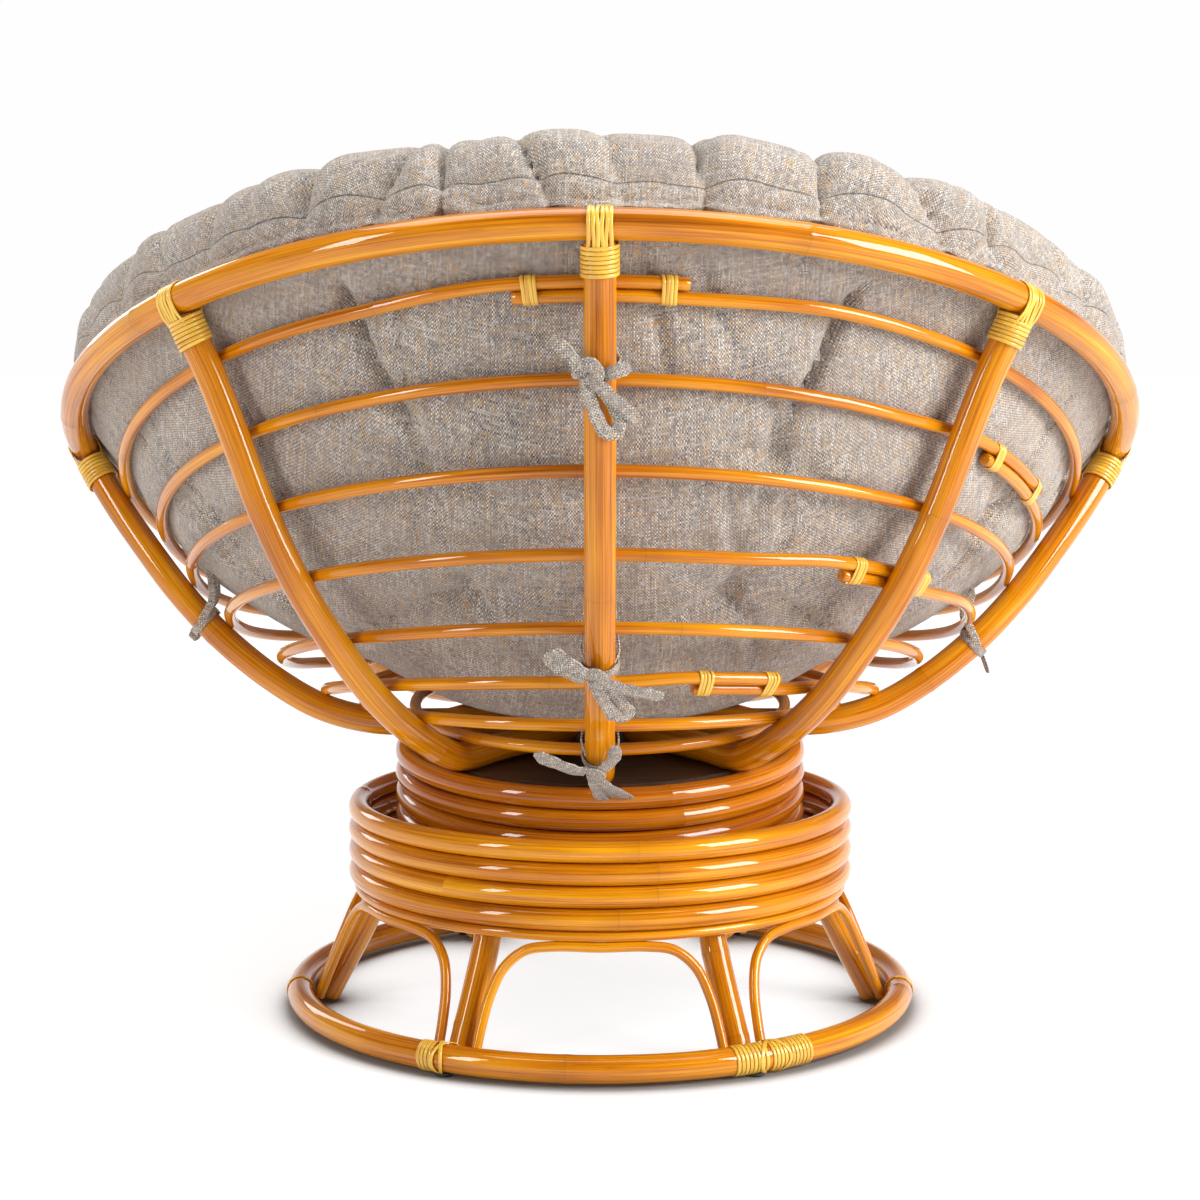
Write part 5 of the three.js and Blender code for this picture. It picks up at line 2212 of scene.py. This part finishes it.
    @staticmethod
    def refined(coarse: Array, rows: int) -> Array:
        """A coarse field on the fine grid: each new value is the mean of its neighbours, smoothed once.

        Args:
            coarse: the coarse field.
            rows: the fine grid's rows.

        Returns:
            The fine field.
        """
        tall = np.empty((rows, *coarse.shape[1:]))
        tall[::2] = coarse[: len(tall[::2])]
        after = np.minimum(np.arange(len(tall[1::2])) + 1, len(coarse) - 1)
        tall[1::2] = (coarse[: len(after)] + coarse[after]) / 2
        wide = np.empty((rows, coarse.shape[1] * 2, *coarse.shape[2:]))
        wide[:, ::2] = tall
        wide[:, 1::2] = (tall + np.roll(tall, -1, axis=1)) / 2
        padded = np.concatenate([wide[:1], wide, wide[-1:]])
        smooth = (padded[:-2] + 2 * padded[1:-1] + padded[2:]) / 4
        return (np.roll(smooth, 1, axis=1) + 2 * smooth + np.roll(smooth, -1, axis=1)) / 4

    def surface(self) -> Surface:
        """The cushion's finished surface, with its place on the flat cloth and its distance from the seam.

        Returns:
            The cushion's surface.
        """
        normals = grid_normals(self.base)
        relief = self.edge_relief() + self.tuft_relief(self.base) + self.valley_relief(self.base) + self.fold_relief(
            self.base
        )
        room = self.swell_room()
        relief = np.minimum(relief, room[:, None])
        points = self.base + normals * relief[..., None]
        start = points[::2, ::2]
        blown = self.refined(self.simulated(start), self.rows)
        out = (blown * normals).sum(axis=2)
        side = blown - normals * out[..., None]
        out = np.clip(out, -0.006, np.maximum(room[:, None] - np.maximum(relief, 0.0), 0.0))
        limit = np.minimum(1.0, 0.004 / np.maximum(np.linalg.norm(side, axis=2), 1e-9))
        points = points + normals * out[..., None] + side * limit[..., None]
        groove = 0.0016 * np.exp(-np.abs(self.past[:, None] + self.sway) / 0.004)
        points = points - normals * groove[..., None]
        return self.with_places(points)

    def with_places(self, points: Array) -> Surface:
        """Adds faces, the flat place on each panel and the distance from the seam.

        Args:
            points: the finished grid.

        Returns:
            The surface with the attribute weave.
        """
        turn = np.append(self.angle, -FULL_TURN)
        around_turn = np.stack([np.sin(turn), np.cos(turn)], axis=-1)
        low, high = (
            self.arc[:, None, None] * around_turn, (self.arc[-1] - self.arc)[:, None, None] * around_turn
            + 3.0
        )
        seam = (self.past[:, None] + np.append(self.sway, self.sway[0]))[..., None]
        under = np.concatenate([low, seam], axis=2)
        over = np.concatenate([high, seam], axis=2)
        whole = skin(points, False, {"weave": under})
        upper = skin(points, False, {"weave": over})
        quads = (self.rows - 1) * self.columns
        face_row = np.repeat(np.arange(self.rows - 1), self.columns)
        above = np.concatenate(
            [np.repeat(face_row >= self.seam, 4), np.zeros(self.columns * 3, bool), np.ones(self.columns * 3, bool)]
        )
        assert len(above) == quads * 4 + self.columns * 6
        whole.corners["weave"] = np.where(above[:, None], upper.corners["weave"], whole.corners["weave"])
        whole.points = rocked(whole.points)
        return whole

    def build(self) -> None:
        """Adds the cushion."""
        piece = add_piece("seat_cushion", self.surface(), self.cloth, Body.BOWL, ("cushion",))


def main() -> None:
    """Builds the chair in order."""
    logging.basicConfig(level=logging.INFO, format="%(name)s: %(message)s")
    rattan = RattanFinish().material()
    cane = CaneFinish().material()
    Studio().build()
    Bowl(rattan).build()
    BowlLashings(cane).build()
    # A darker, redder copy of the rattan for the upper drum: painted shade under the bowl.
    shaded_rattan = (
        RattanFinish("rattan_painted_shade", (0.17, 0.03, 0.001), (0.43, 0.105, 0.001), (0.74, 0.26, 0.003)).material(
    )
        
    )
    Drums(rattan, shaded_rattan).build()
    Base(rattan, cane, RubberFinish().material()).build()
    Mechanism(SteelFinish().material(), ShadedBoardFinish().material()).build()
    cloth = ClothFinish().material()
    Cushion(cloth).build()
    Ties(cloth).build()


if __name__ == "__main__":
    main()
